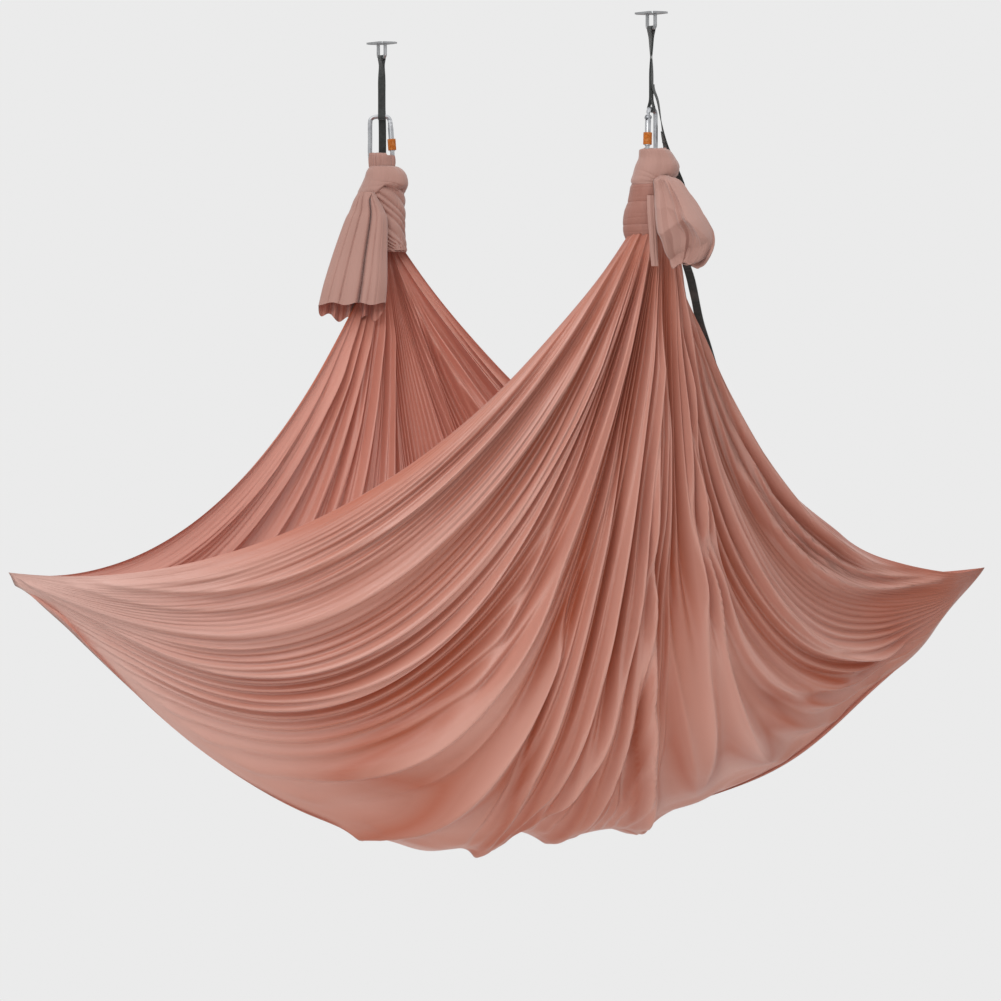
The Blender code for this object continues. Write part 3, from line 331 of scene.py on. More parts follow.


# %% [markdown]
# The knit is a salmon nylon whose face is satin.  A picture of cloth could be laid on it, but masks
# that follow the folds stay sharp from near and far.  Painted shade deepens the colour in the valleys,
# where light meets only cloth, a painted highlight pales the crests, and a painted gloss pales the
# cloth most towards the left tip.  The inside of the pouch, which light passes through, is painted
# warmer.  Fine wrinkles run along the folds, from a noise that is stretched along the ribs.  The knots
# show the knit's duller back.

# %% The knit
WALES_PER_METRE = 1400.0
LEFT_TIP_PAINTED_GLOSS = (0.68, 0.42, 0.36)
CREST_PAINTED_HIGHLIGHT = (0.63, 0.295, 0.228)
INSIDE = (0.66, 0.27, 0.20)
INSIDE_SHARE = 0.8
DARKER = 0.93
SHEEN_ROUGHNESS = 0.4
VALLEY_RANGE = (0.0, 0.25)
CREST_RANGE = (0.3, 0.85)
GLOSSIER, DULLER = -0.04, 0.05


def knit(name, colour, ior, sheen, roughness, valley_painted_shade=None):
    """Satin tricot: tones from grain, painted shade and highlights on the folds and painted light inside,
    over the relief of wrinkles and threads.
    """
    made, tree, shader = new_material(name, colour, roughness)
    shader.inputs["IOR"].default_value = ior
    shader.inputs["Sheen Weight"].default_value = sheen
    shader.inputs["Sheen Roughness"].default_value = SHEEN_ROUGHNESS
    cloud = place(tree, grain, flat_way(tree, (1.0, 0.35, 1.0)), scale=7.0, low=0.3, high=0.75)
    tone = blend_colours(tree, cloud, colour, [DARKER * part for part in colour])
    if valley_painted_shade:
        # Painted shade in the valleys and a painted highlight on the crests, both from the fold height.
        fold = stored(tree, "fold")
        tone = blend_colours(tree, ramp(tree, fold, *VALLEY_RANGE), valley_painted_shade, tone)
        tone = blend_colours(tree, ramp(tree, fold, *CREST_RANGE), tone, CREST_PAINTED_HIGHLIGHT)
        # The "taut" mask paints a paler gloss towards the left tip: a painted highlight.
        tone = blend_colours(tree, stored(tree, "taut"), tone, LEFT_TIP_PAINTED_GLOSS)
    # Faces seen from inside the pouch are painted warmer, for light that passes through the cloth.
    face = tree.nodes.new("ShaderNodeNewGeometry")
    inside = maths(tree, "MULTIPLY", face.outputs["Backfacing"], INSIDE_SHARE)
    feed(tree, shader, blend_colours(tree, inside, tone, INSIDE),
         between(tree, cloud, roughness + GLOSSIER, roughness + DULLER))
    crinkle = streaks(tree, flat_way(tree, (26.0, 3.2, 1.0)), detail=4.0, distortion=0.5)
    threads = place(tree, weave, flat_way(tree), across=WALES_PER_METRE, along=WALES_PER_METRE)
    raise_surface(tree, shader, (crinkle, 0.55, 0.006), (threads, 0.25, 0.0002))
    return made


satin = knit("satin_tricot", (0.515, 0.18, 0.118), ior=1.65, sheen=0.12, roughness=0.36,
             valley_painted_shade=(0.44, 0.105, 0.048))
dull_back = knit("tricot_back", (0.455, 0.245, 0.200), ior=1.5, sheen=0.35, roughness=0.60)
# A darker, more saturated copy of the knit for the right knot's flat turns: partly a face a little glossier
# than the dull back, partly painted shade.
turns_knit_with_shade = knit("tricot_turns_with_painted_shade", (0.37, 0.155, 0.115), ior=1.5, sheen=0.25, roughness=0.50)
print("knits:", satin.name, dull_back.name, turns_knit_with_shade.name)

# %% [markdown]
# The hard pieces keep their solids and get a better finish in their material slots.  The alloy is
# tumbled, so it is a soft mirror with fine upright scratches and duller patches from handling.  The
# zinc of the ceiling pieces has small crystals that differ in gloss, under a little dust.

# %% Metals
alloy, tree, shader = new_material("tumbled_alloy", (0.56, 0.57, 0.59), 0.34, 1.0)
handled = place(tree, grain, object_way(tree), scale=55.0, low=0.38, high=0.66)
scratches = streaks(tree, object_way(tree, (2600.0, 2600.0, 160.0)), detail=3.0)
feed(tree, shader, blend_colours(tree, handled, (0.60, 0.61, 0.63), (0.44, 0.45, 0.47)),
     between(tree, handled, 0.26, 0.46))
raise_surface(tree, shader, (scratches, 0.12, 0.0002), (handled, 0.08, 0.0004))

zinc, tree, shader = new_material("zinc_plate", (0.48, 0.49, 0.50), 0.40, 1.0)
crystals = tree.nodes.new("ShaderNodeTexVoronoi")
crystals.inputs["Scale"].default_value = 240.0
tree.links.new(object_way(tree), crystals.inputs["Vector"])
dusty = place(tree, grain, object_way(tree), scale=40.0, low=0.4, high=0.7)
feed(tree, shader, blend_colours(tree, dusty, (0.50, 0.51, 0.52), (0.38, 0.385, 0.39)),
     between(tree, crystals.outputs["Color"], 0.32, 0.46))
raise_surface(tree, shader, (dusty, 0.10, 0.0003))


def dress(names, finish):
    """Assigns the finish to the CAD nodes' own material slots."""
    for name in names:
        for own_slot in frame["nodes"][name].material_slots:
            own_slot.material = finish
    print(finish.name, "on", len(names), "nodes")


SIDES = ("left", "right")
dress([side + part for side in SIDES for part in ("_carabiner_frame", "_carabiner_gate", "_gate_rivet",
                                                  "_gate_spring", "_gate_plunger")], alloy)
dress([side + part for side in SIDES for part in ("_ceiling_plate", "_ceiling_eye")], zinc)

# %% [markdown]
# Each screw sleeve is anodised orange over a grip of small diamonds.  The pattern could be cut into
# the mesh, but the cuts are shallow, so a bump, painted shade in the grooves and a painted highlight
# on the crowns are enough.  Sleeves lean, so a Mapping node turns the pattern on to each sleeve's own
# axis.

# %% The orange sleeves
SLEEVE_ORANGE = (0.75, 0.22, 0.02)
GROOVE_PAINTED_SHADE, CROWN_PAINTED_HIGHLIGHT, WORN = (0.34, 0.075, 0.008), (0.86, 0.27, 0.03), (0.70, 0.30, 0.10)


def sleeve_finish(side):
    """Orange anodising over a diamond knurl that is centred on the sleeve's own axis."""
    made, tree, shader = new_material(side + "_orange_sleeve", SLEEVE_ORANGE, 0.38, 0.55)
    low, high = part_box(side + "_screw_sleeve")
    slide = next(joint for joint in frame["joints"] if joint["name"] == side + "_sleeve_slide")
    coordinates = tree.nodes.new("ShaderNodeTexCoord")
    own_axes = tree.nodes.new("ShaderNodeMapping")
    own_axes.vector_type = "TEXTURE"
    own_axes.inputs["Location"].default_value = (Vector(low) + Vector(high)) / 2
    own_axes.inputs["Rotation"].default_value = Vector(slide["axis"]).to_track_quat("Z", "Y").to_euler()
    tree.links.new(coordinates.outputs["Object"], own_axes.inputs["Vector"])
    diamonds = place(tree, knurl, own_axes.outputs[0], around=20.0, pitch=0.0030)
    worn = place(tree, grain, own_axes.outputs[0], scale=130.0, low=0.45, high=0.75)
    # Painted shade in the knurl's grooves and a painted highlight on its crowns.
    knurl_painted_light = blend_colours(tree, diamonds, GROOVE_PAINTED_SHADE, CROWN_PAINTED_HIGHLIGHT)
    feed(tree, shader, blend_colours(tree, worn, knurl_painted_light, WORN), between(tree, diamonds, 0.55, 0.32))
    raise_surface(tree, shader, (diamonds, 0.8, 0.0006))
    return made


for side in SIDES:
    dress([side + "_screw_sleeve"], sleeve_finish(side))

# %% [markdown]
# ## The pouch
# A simulation could let the cloth hang by itself, but the formula of a hanging chain gives nearly the
# same shape at once, and the same one on every run.  `share` runs across the cloth from the left tip
# (0) to the right tip (1), and `along` runs from the right knot (0) over the lowest line (0.5) to the
# left knot (1).  Each rib of cloth hangs from its knot to the lowest line as a catenary, the curve of
# a free chain.  Its parameter follows from the rib's span, drop and length.

# %% The smooth pouch
MOUTH_SPACING = 1.120
MOUTH_Z = -0.473
MOUTH_FADE = 6
TIP_SPAN = 2.475
TIP_DROP = 0.719
KEEL_DROP = 1.332
KEEL_FULLNESS = 0.95
KEEL_SWEEP = math.radians(60.0)
# place between the tips (-1 to 1), width, depth
KEEL_SAGS = [(-0.42, 0.2, 0.038), (0.60, 0.2, 0.040)]
RIB_LENGTH_MIDDLE = 1.520
RIB_LENGTH_EDGE = 1.610
RIB_ROUNDNESS = 0.9
LEFT_MOUTH_RADIUS = 0.034
RIGHT_MOUTH_RADIUS = 0.046
ROOT_STEPS = 12


def keel_point(share):
    """The lowest line: x follows a sine, so the tips get more cloth, and z a rounded bow with sags."""
    x = TIP_SPAN / 2 * np.sin((2 * share - 1) * KEEL_SWEEP) / math.sin(KEEL_SWEEP)
    r = x / (TIP_SPAN / 2)
    depth = (KEEL_DROP - TIP_DROP) * np.clip(1 - r * r, 0, 1) ** KEEL_FULLNESS
    sags = sum(deep * bell(r, at, wide) for at, wide, deep in KEEL_SAGS)
    return x, MOUTH_Z - TIP_DROP - depth - sags


def catenary(span, drop, length):
    """The chain's parameter a, and its ends counted from its lowest point.

    With u = span / (2 a), sinh(u) / u equals sqrt(length ** 2 - drop ** 2) / span.  The slope of the
    left side gives a better u at each step.
    """
    target = np.sqrt(length * length - drop * drop) / span
    u = np.sqrt(6 * (target - 1))
    for _ in range(ROOT_STEPS):
        u = u - (np.sinh(u) / u - target) * u * u / (np.cosh(u) * u - np.sinh(u))
    a = span / (2 * u)
    middle = -a * np.arctanh(drop / length)
    return a, middle - span / 2, middle + span / 2


def pouch_point(share, along):
    """A point of the smooth cloth: the chain's height and reach, swelled out between knot and edge."""
    share, along = np.broadcast_arrays(share, along)
    side = np.where(along <= 0.5, -1.0, 1.0)
    mouth = np.where(along <= 0.5, RIGHT_MOUTH_RADIUS, LEFT_MOUTH_RADIUS)
    down = 1 - np.abs(2 * along - 1)
    x, z = keel_point(share)
    offset = np.abs(2 * share - 1)
    length = RIB_LENGTH_MIDDLE + (RIB_LENGTH_EDGE - RIB_LENGTH_MIDDLE) * offset ** 2
    span = np.hypot(x, MOUTH_SPACING / 2)
    a, start, _ = catenary(span, MOUTH_Z - z, length)
    arc = a * np.sinh(start / a) + down * length
    reach = (a * np.arcsinh(arc / a) - start) / span
    height = MOUTH_Z - (a * np.cosh(start / a) - np.sqrt(a * a + arc * arc))
    swell = RIB_ROUNDNESS * (1 - offset ** 2)
    near = (1 - reach) ** MOUTH_FADE
    px = x * (reach + swell * reach * (1 - reach)) - mouth * np.cos(math.pi * share) * near
    py = MIDDLE_Y + side * (MOUTH_SPACING / 2 * (1 - reach) + mouth * np.sin(math.pi * share) * near)
    return np.stack([px, py, height], axis=-1)


lowest = pouch_point(np.array([0.5]), np.array([0.5]))[0]
print("the middle of the lowest line is at", lowest.round(3))

# %% [markdown]
# ## Where the folds run
# A fold leaves the knot at some share `v`.  Near the middle it falls straight to the lowest line;
# nearer the edge it bends away and runs out into the tip.  The grid's own columns follow the same
# law, so that narrow crests stay crisp without a much finer grid.  The columns' spacing is a mean of
# even steps at the knot and even steps at the lowest line, and the rows crowd a little towards that
# line.

# %% Fold lines
COLUMNS = 601
ROWS_PER_SIDE = 80
STRAIGHT_LEFT, STRAIGHT_RIGHT = 0.44, 0.40
FINE_STEPS = 4001
EVEN_PART = 0.45
ROW_CROWDING = 1.25


def column_share(v, down):
    """The share that grid column v has reached at this depth: v shrinks towards its tip by a power.

    `near` is 0 at the tip and 1 where the straight middle begins.  Both the power and the part that
    holds still grow with it.
    """
    left = v < 0.5
    near = np.where(left, v / STRAIGHT_LEFT, (1 - v) / STRAIGHT_RIGHT)
    power = np.where(left, 2.0 + 2.2 * near ** 2, 1.0 + 2.2 * near ** 3)
    hold = np.where(left, near ** 9, near ** 12)
    bend = np.where(near < 1, (1 - hold) * down ** power, 0.0)
    return np.where(left, v * (1 - bend), 1 - (1 - v) * (1 - bend))


even = np.linspace(0, 1, FINE_STEPS)
measure = EVEN_PART * even + (1 - EVEN_PART) * column_share(even, 1.0)
COLUMN = np.interp(np.linspace(0, 1, COLUMNS), measure, even)
down_side = 1 - (1 - np.linspace(0, 1, ROWS_PER_SIDE + 1)) ** ROW_CROWDING
ALONG = np.concatenate([down_side / 2, 1 - down_side[-2::-1] / 2])
GRID_V, GRID_ALONG = np.meshgrid(COLUMN, ALONG, indexing="ij")
DOWN = 1 - np.abs(2 * GRID_ALONG - 1)
SHARE = column_share(GRID_V, DOWN)
SMOOTH = pouch_point(SHARE, GRID_ALONG)
ACROSS = np.linalg.norm(np.diff(SMOOTH, axis=0), axis=-1)
ACROSS = np.concatenate([np.zeros((1, len(ALONG))), np.cumsum(ACROSS, axis=0)], axis=0)
EDGE_ACROSS = np.minimum(ACROSS, ACROSS[-1] - ACROSS)
print("grid", SHARE.shape, "cloth across its lowest line", round(float(ACROSS[-1, ROWS_PER_SIDE]), 3))

# %% [markdown]
# ## The folds
# Each crest is a row of numbers: where it leaves the knot, how far and how fast it bends away, where
# it starts and ends on the way down, and how strong it is beside its neighbours.  The cloth is as
# wide at the knot as at the lowest line, so the spare width on each row sets how high the folds
# stand: a fold of pitch p whose sides are longer by the factor e rises by p / 2 * sqrt(e * e - 1).

# %% The crests that are placed one by one
FRONT, BACK, BOTH = "front", "back", "both"
# fan, side, v at the knot, bend, power, start, end, strength (negative towards the inside)
CRESTS = [
    (FRONT, "left", 0.085, 1.20, 2.0, 0.05, 1.20, 0.5),
    (FRONT, "left", 0.140, 1.25, 2.2, 0.00, 1.20, 1.0),
    (FRONT, "left", 0.180, 1.15, 2.4, 0.45, 1.20, 0.6),
    (FRONT, "left", 0.230, 1.00, 2.45, 0.00, 1.20, 1.0),
    (FRONT, "left", 0.255, 0.95, 2.5, 0.50, 1.20, 0.6),
    (FRONT, "left", 0.310, 1.02, 3.2, 0.05, 1.20, 1.0),
    (FRONT, "left", 0.335, 0.82, 3.7, 0.00, 0.99, 1.0),
    (FRONT, "left", 0.362, 0.15, 8.0, 0.20, 0.80, 0.7),
    (FRONT, "left", 0.398, 0.48, 6.1, 0.00, 0.99, 1.2),
    (FRONT, "left", 0.418, 0.30, 6.0, 0.60, 0.97, 0.5),
    (BOTH, "left", 0.438, 0.16, 6.2, 0.25, 1.30, 0.9),
    (FRONT, "left", 0.433, -0.06, 4.0, 0.42, 0.97, -0.9),
    (BOTH, "left", 0.454, -0.03, 5.0, 0.30, 1.30, 0.9),
    (BOTH, "left", 0.490, 0.05, 8.0, 0.00, 1.30, 1.0),
    (FRONT, "right", 0.500, 0.00, 1.0, 0.35, 0.70, 0.5),
    (BOTH, "right", 0.465, -0.14, 4.1, 0.35, 1.30, 1.0),
    (BOTH, "right", 0.447, -0.06, 4.0, 0.50, 1.30, 0.8),
    (FRONT, "right", 0.443, 0.07, 6.0, 0.62, 0.99, -1.0),
    (BOTH, "right", 0.468, 0.16, 1.8, 0.00, 1.30, 1.1),
    (FRONT, "right", 0.440, 0.23, 1.6, 0.50, 0.99, 0.4),
    (FRONT, "right", 0.415, 0.05, 1.5, 0.15, 0.60, 0.6),
    (FRONT, "right", 0.372, 0.08, 1.0, 0.00, 0.94, 0.9),
    (FRONT, "right", 0.340, 0.30, 4.4, 0.05, 0.98, 1.0),
    (FRONT, "right", 0.322, 1.40, 6.0, 0.30, 0.90, 0.9),
    (FRONT, "right", 0.306, 0.82, 1.9, 0.00, 0.99, 1.1),
    (FRONT, "right", 0.265, 1.15, 1.25, 0.05, 1.00, 0.9),
    (FRONT, "right", 0.228, 1.20, 1.20, 0.10, 0.80, 0.5),
    (FRONT, "right", 0.200, 1.15, 1.05, 0.00, 0.95, 0.9),
    (FRONT, "right", 0.120, 1.20, 1.00, 0.00, 0.90, 0.7),
    (BACK, "left", 0.275, 0.99, 2.8, 0.00, 1.10, -1.0),
    (BACK, "left", 0.318, 0.95, 3.05, 0.05, 1.10, -0.8),
    (BACK, "left", 0.352, 0.87, 3.4, 0.00, 1.10, -1.0),
    (BACK, "left", 0.380, 0.73, 3.6, 0.10, 0.80, -0.4),
    (BACK, "left", 0.415, 0.00, 1.0, 0.00, 0.95, -0.9),
    (BACK, "left", 0.455, 0.00, 1.0, 0.00, 0.80, -0.5),
    (BACK, "left", 0.215, 1.00, 2.5, 0.00, 1.10, -0.8),
    (BACK, "left", 0.150, 1.00, 2.25, 0.00, 1.10, -0.8),
    (BACK, "left", 0.080, 1.00, 2.1, 0.00, 1.10, -0.6),
    (BACK, "right", 0.340, -0.40, 1.4, 0.00, 0.60, -1.0),
    (BACK, "right", 0.400, 0.00, 1.0, 0.10, 0.80, -0.5),
    (BACK, "right", 0.350, 0.90, 1.0, 0.00, 0.95, -0.9),
    (BACK, "right", 0.285, 0.60, 1.0, 0.05, 0.95, -0.7),
    (BACK, "right", 0.200, 0.90, 1.0, 0.00, 0.95, -1.0),
    (BACK, "right", 0.145, 0.60, 1.0, 0.00, 0.95, -0.6),
    (BACK, "right", 0.080, 0.80, 1.0, 0.00, 0.90, -0.9),
]
print(len(CRESTS), "crests in the table")

# %% [markdown]
# Weak crests lie between them, drawn by chance from a fixed seed, so that every run draws the same
# ones.  Across a fold the height falls away from a rounded crown like exp(-distance / width), and the
# width follows from how near the neighbours are.  Such a sharp crest with hollow flanks looks more
# like gathered cloth than a sine wave does.

# %% Where the weak crests run
SMALL_CRESTS = 26
FRONT_SEED, BACK_SEED = 7, 11
SMALL_END = 0.97
BACK_MIDDLE = 0.2
BACK_CALM = 0.2
BACK_START = 0.8


def crest_share(crest, down):
    """The share at which a crest runs: v * (1 - bend * down ** power), from its own edge."""
    _, side, v, bend, power = crest[:5]
    gone = v * (1 - bend * down ** power)
    return gone if side == "left" else 1 - gone


def small_crests(seed):
    """Weak crests along the grid's own columns, each with a slow waver, start and end.

    Beside the middle of the back fan they are much weaker still.
    """
    random = np.random.default_rng(seed)
    for k in range(SMALL_CRESTS):
        v = (k + random.uniform(0.1, 0.9)) / SMALL_CRESTS
        waver = random.uniform(-0.012, 0.012)
        phase = random.uniform(0, 6.28)
        start = random.uniform(-0.1, 0.35)
        end = start + random.uniform(0.25, 0.75)
        strength = random.uniform(0.15, 0.45)
        if seed == BACK_SEED and abs(2 * v - 1) > BACK_MIDDLE:
            strength *= BACK_CALM
        yield v, waver, phase, start, min(end, SMALL_END), strength


weak = [round(crest[0], 3) for crest in small_crests(FRONT_SEED)]
print("the front's weak crests leave the knot at", weak[:3], "to", weak[-1])

# %% How high each crest stands
FOLD_TOP = 0.045
FLAT_WIDTH = 2.80
NARROWEST = 0.2
SPARE_MOST = 2.2
SPARE_LEAST = 1.03
EDGE_SHARE = 0.012
LONE = 0.30
PITCH_LEAST, PITCH_MOST = 0.004, 0.16
RISE_GAIN = 1.7
FLANK = 0.27
LEAN = 0.5
CROWN_LEAST, CROWN_PART = 0.0015, 0.12


def even_out(values, passes=14):
    """Repeated three-point means along the rows, so that a fold's height never jumps."""
    for _ in range(passes):
        padded = np.pad(values, ((0, 0), (1, 1)), mode="edge")
        values = (padded[:, :-2] + 2 * padded[:, 1:-1] + padded[:, 2:]) / 4
    return values


def crest_life(lines, spans, depth):
    """1 on a crest's way down, fading to 0 at its start, at its end and at the cloth's edges."""
    start, end = np.array(spans).T[:, :, None]
    life = smooth_step(start - 0.05, start + 0.15, depth) * (1 - smooth_step(end - 0.22, end, depth))
    return life * smooth_step(0.0, EDGE_SHARE, lines) * smooth_step(0.0, EDGE_SHARE, 1 - lines)


def crest_pitch(spots, alive):
    """The mean distance to the neighbours on both sides, where a faint one counts as farther away."""
    gap = spots[None] - spots[:, None]
    far = np.abs(gap) / (0.12 + 0.88 * alive[None])
    near_right = np.where(gap > 1e-6, far, LONE).min(axis=1)
    near_left = np.where(gap < -1e-6, far, LONE).min(axis=1)
    return even_out(np.clip((near_right + near_left) / 2, PITCH_LEAST, PITCH_MOST))


def fold_heights(crests, fan_rows, sign, seed):
    """Yields, crest by crest, one fan's rows and the height that the crest adds on them."""
    rows = np.arange(len(ALONG))[fan_rows]
    depth = DOWN[0, rows]
    lines = [crest_share(crest, depth) for crest in crests]
    spans = [(max(crest[5], BACK_START) if crest[0] == BOTH and sign < 0 else crest[5], crest[6])
             for crest in crests]
    strength = [crest[7] for crest in crests]
    for v, waver, phase, start, end, strong in small_crests(seed):
        lines.append(column_share(np.full_like(depth, v), depth)
                     + waver * depth * np.sin(5 * depth + phase))
        spans.append((start, end))
        strength.append(sign * strong)
    lines = np.array(lines)
    strength = np.array(strength)[:, None]
    life = crest_life(lines, spans, depth)
    spots = np.stack([np.interp(lines[:, j], SHARE[:, row], ACROSS[:, row])
                      for j, row in enumerate(rows)], axis=1)
    pitch = crest_pitch(spots, life * np.abs(strength))
    spare = np.clip(FLAT_WIDTH / np.maximum(ACROSS[-1, rows], NARROWEST), SPARE_LEAST, SPARE_MOST)
    rise = 0.5 * np.sqrt(spare ** 2 - 1)
    tall = np.minimum(RISE_GAIN * rise * pitch, FOLD_TOP) * life * strength
    for k in range(len(lines)):
        d = ACROSS[:, rows] - spots[k]
        lean = LEAN * smooth_step(0.1, 0.7, np.abs(2 * lines[k] - 1)) * np.sign(0.5 - lines[k])
        wide = FLANK * pitch[k] * (1 - lean * np.sign(d))
        crown = CROWN_LEAST + CROWN_PART * wide
        yield rows, tall[k] * np.exp(-(np.sqrt(d * d + crown * crown) - crown) / wide)


# %% [markdown]
# All heights are added up on the grid.  They fade at both edges, are half as high on the taut cloth of
# the left tip, and are tucked back at the lowest line, so that the line stays near the smooth pouch.

# %% Add up the crests
EDGE_FADE = 0.035
TAUT = 0.5
KEEL_TUCK = 0.62
HEIGHT = np.zeros_like(ACROSS)
FAN_ROWS = {FRONT: slice(0, ROWS_PER_SIDE + 1), BACK: slice(ROWS_PER_SIDE + 1, None)}
for fan, sign, seed in ((FRONT, 1, FRONT_SEED), (BACK, -1, BACK_SEED)):
    chosen = [crest for crest in CRESTS if crest[0] in (fan, BOTH)]
    for rows, rise in fold_heights(chosen, FAN_ROWS[fan], sign, seed):
        HEIGHT[:, rows] += rise
HEIGHT *= smooth_step(0.0, EDGE_FADE, EDGE_ACROSS)
HEIGHT *= 1 - TAUT * smooth_step(0.15, 0.75, -SMOOTH[..., 0])
crest_tops = HEIGHT.max(axis=0)[None]
HEIGHT -= KEEL_TUCK * crest_tops * smooth_step(0.70, 1.0, DOWN) * smooth_step(0.0, 0.2, EDGE_ACROSS)
print("crests up to", round(float(HEIGHT.max()) * 1000), "mm high")

# %% [markdown]
# Between the crests the cloth still has width to spare, so it lies in many small pleats.  Their
# height follows from the same law and from what the big folds have left over on each row, up to a
# cap.  Slow sine waves bend them and change their strength, so that they don't look ruled.  The back
# fan is calmer, most of all away from its middle.

# %% Small pleats
PLEATS = 84
PLEAT_MOST = 0.0102
MAIN_GAIN = 1.05
MIDDLE_CALM, SIDES_ADD = 0.15, 0.60
HEIGHT *= MAIN_GAIN
laid = np.hypot(np.diff(ACROSS, axis=0), np.diff(HEIGHT, axis=0)).sum(axis=0)[None]
left_over = np.clip(FLAT_WIDTH / np.maximum(laid, NARROWEST), 1, SPARE_MOST)
pitch = np.gradient(ACROSS, axis=0) / np.gradient(GRID_V, axis=0) / PLEATS
winding = PLEATS * GRID_V + 0.5 * np.sin(9 * GRID_V + 2 * DOWN) + 0.35 * np.sin(31 * GRID_V)
mood = 0.74 + 0.42 * np.sin(23 * GRID_V + 5 * DOWN) * np.sin(11 * GRID_V - 7 * DOWN)
calm = MIDDLE_CALM + SIDES_ADD * smooth_step(0.20, 0.55, np.abs(2 * GRID_V - 1))
calm = smooth_step(0.5, 0.56, GRID_ALONG) * calm
PLEAT = np.minimum(0.5 * np.sqrt(left_over ** 2 - 1) * pitch, PLEAT_MOST) * mood * (1 - calm)
PLEAT *= smooth_step(0.0, 0.05, EDGE_ACROSS) * smooth_step(0.0, 0.06, DOWN)
HEIGHT += PLEAT * np.sin(2 * math.pi * winding)
FOLD = np.abs(HEIGHT) / FOLD_TOP
print("pleats up to", round(float(PLEAT.max()) * 1000, 1), "mm on each side")

# %% [markdown]
# The weight of the right tip pulls the front's right side straight.  The broad mean of the heights
# there is taken away 1.8 times over, which brings that side up to 3 cm inside the smooth pouch.  The
# lowest line sags a little more in three places and a little less in its middle.

# %% Straighter right side, and sags
RIGHT_PULL = 1.8
BROAD_PASSES = 400
# place between the tips (-1 to 1), width, depth
SAGS = [(-0.66, 0.18, 0.018), (-0.175, 0.085, 0.034), (0.0, 0.07, -0.020), (0.86, 0.08, 0.030)]
broad = even_out(HEIGHT.T, BROAD_PASSES).T
right_side = smooth_step(0.62, 0.86, SHARE) * (GRID_ALONG < 0.5) * (1 - smooth_step(0.75, 0.95, DOWN))
HEIGHT -= RIGHT_PULL * broad * right_side * smooth_step(0.0, 0.1, DOWN)
for sag_at, sag_width, sag_depth in SAGS:
    sag = sag_depth * bell(SMOOTH[..., 0] / (TIP_SPAN / 2), sag_at, sag_width)
    HEIGHT += sag * smooth_step(0.72, 1.0, DOWN)
print("broad height taken away on the right, up to",
      round(float((RIGHT_PULL * broad * right_side).max()) * 1000), "mm")

# %% [markdown]
# Along both long edges the hem rolls over, so a soft round rise about 5 cm wide follows the edge.
# Then every point moves off the smooth pouch by its height, along the normal, and the grid becomes
# the cloth.

# %% The rolled edge, and the cloth
EDGE_ROLL = 0.045
EDGE_RISE = 0.008
for edge in (ACROSS, ACROSS[-1] - ACROSS):
    x = np.clip(edge / EDGE_ROLL, 0, 1)
    on_the_way = smooth_step(0.02, 0.2, DOWN) * (1 - smooth_step(0.7, 0.95, DOWN))
    HEIGHT += EDGE_RISE * (4 * x * (1 - x)) ** 0.6 * on_the_way

d_share = np.gradient(SMOOTH, axis=0)
d_along = np.gradient(SMOOTH, axis=1)
NORMAL = np.cross(d_along, d_share)
NORMAL /= np.maximum(np.linalg.norm(NORMAL, axis=-1), 1e-9)[..., None]
print("outward at the front:", NORMAL[COLUMNS // 2, ROWS_PER_SIDE // 2].round(2))
CLOTH = SMOOTH + NORMAL * HEIGHT[..., None]
CLOTH[..., 2] = np.minimum(CLOTH[..., 2], MOUTH_Z)

# Painted gloss: a mask that pales the cloth towards the left tip and more so lower down, stored as "taut".
PALE_MOST = 0.90
PALE_DROP = 0.75
PALE_BELOW = 0.35
below = MOUTH_Z - PALE_DROP - SMOOTH[..., 2]
PALE = PALE_MOST * smooth_step(0.50, 1.25, -SMOOTH[..., 0] + PALE_BELOW * below)
FLAT_LENGTH = 2 * RIB_LENGTH_MIDDLE
FLAT = np.stack([GRID_V * FLAT_WIDTH, GRID_ALONG * FLAT_LENGTH], axis=-1)
# The "fold" values carry the painted valley shade and crest highlight, the "taut" values the painted gloss.
cloth = grid_mesh("hammock_cloth_sheet", CLOTH[:, ::-1], uv=FLAT[:, ::-1],
                  values={"fold": FOLD[:, ::-1], "taut": PALE[:, ::-1]})
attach(cloth, "hammock")
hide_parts("hammock_cloth")
cloth.data.materials.append(satin)
quads = np.cross(CLOTH[1:, :-1] - CLOTH[:-1, :-1], CLOTH[:-1, 1:] - CLOTH[:-1, :-1])
print("cloth area", round(float(np.linalg.norm(quads, axis=-1).sum()), 2), "m2 of",
      round(FLAT_WIDTH * FLAT_LENGTH, 2))
print("cloth:", len(cloth.data.polygons) * 2, "triangles, highest fold",
      round(float(HEIGHT.max()) * 1000), "mm")

# %% [markdown]
# ## The knots
# Each knot is a bundle of gathered cloth.  It could be one long rope of cloth that is tied for real,
# but only its outermost turns show, so tubes of strands stand for them.  Each tube follows a few
# stations, given as the photograph shows them: how far to the right of the strap, how far away from
# the viewer, how high, and the half width and half depth there.

# %% Curves through stations
ANCHOR = {"left": np.array([0.0, 0.0, 0.0]), "right": np.array([0.0, -1.181, 0.0])}


def in_view(side, right, deep, z):
    """World points from distances to the right of a strap and away from the viewer, and a height."""
    right, deep, z = (part[..., None] for part in np.broadcast_arrays(right, deep, z))
    return ANCHOR[side] + right * VIEW_RIGHT + deep * VIEW_DEEP + z * UP


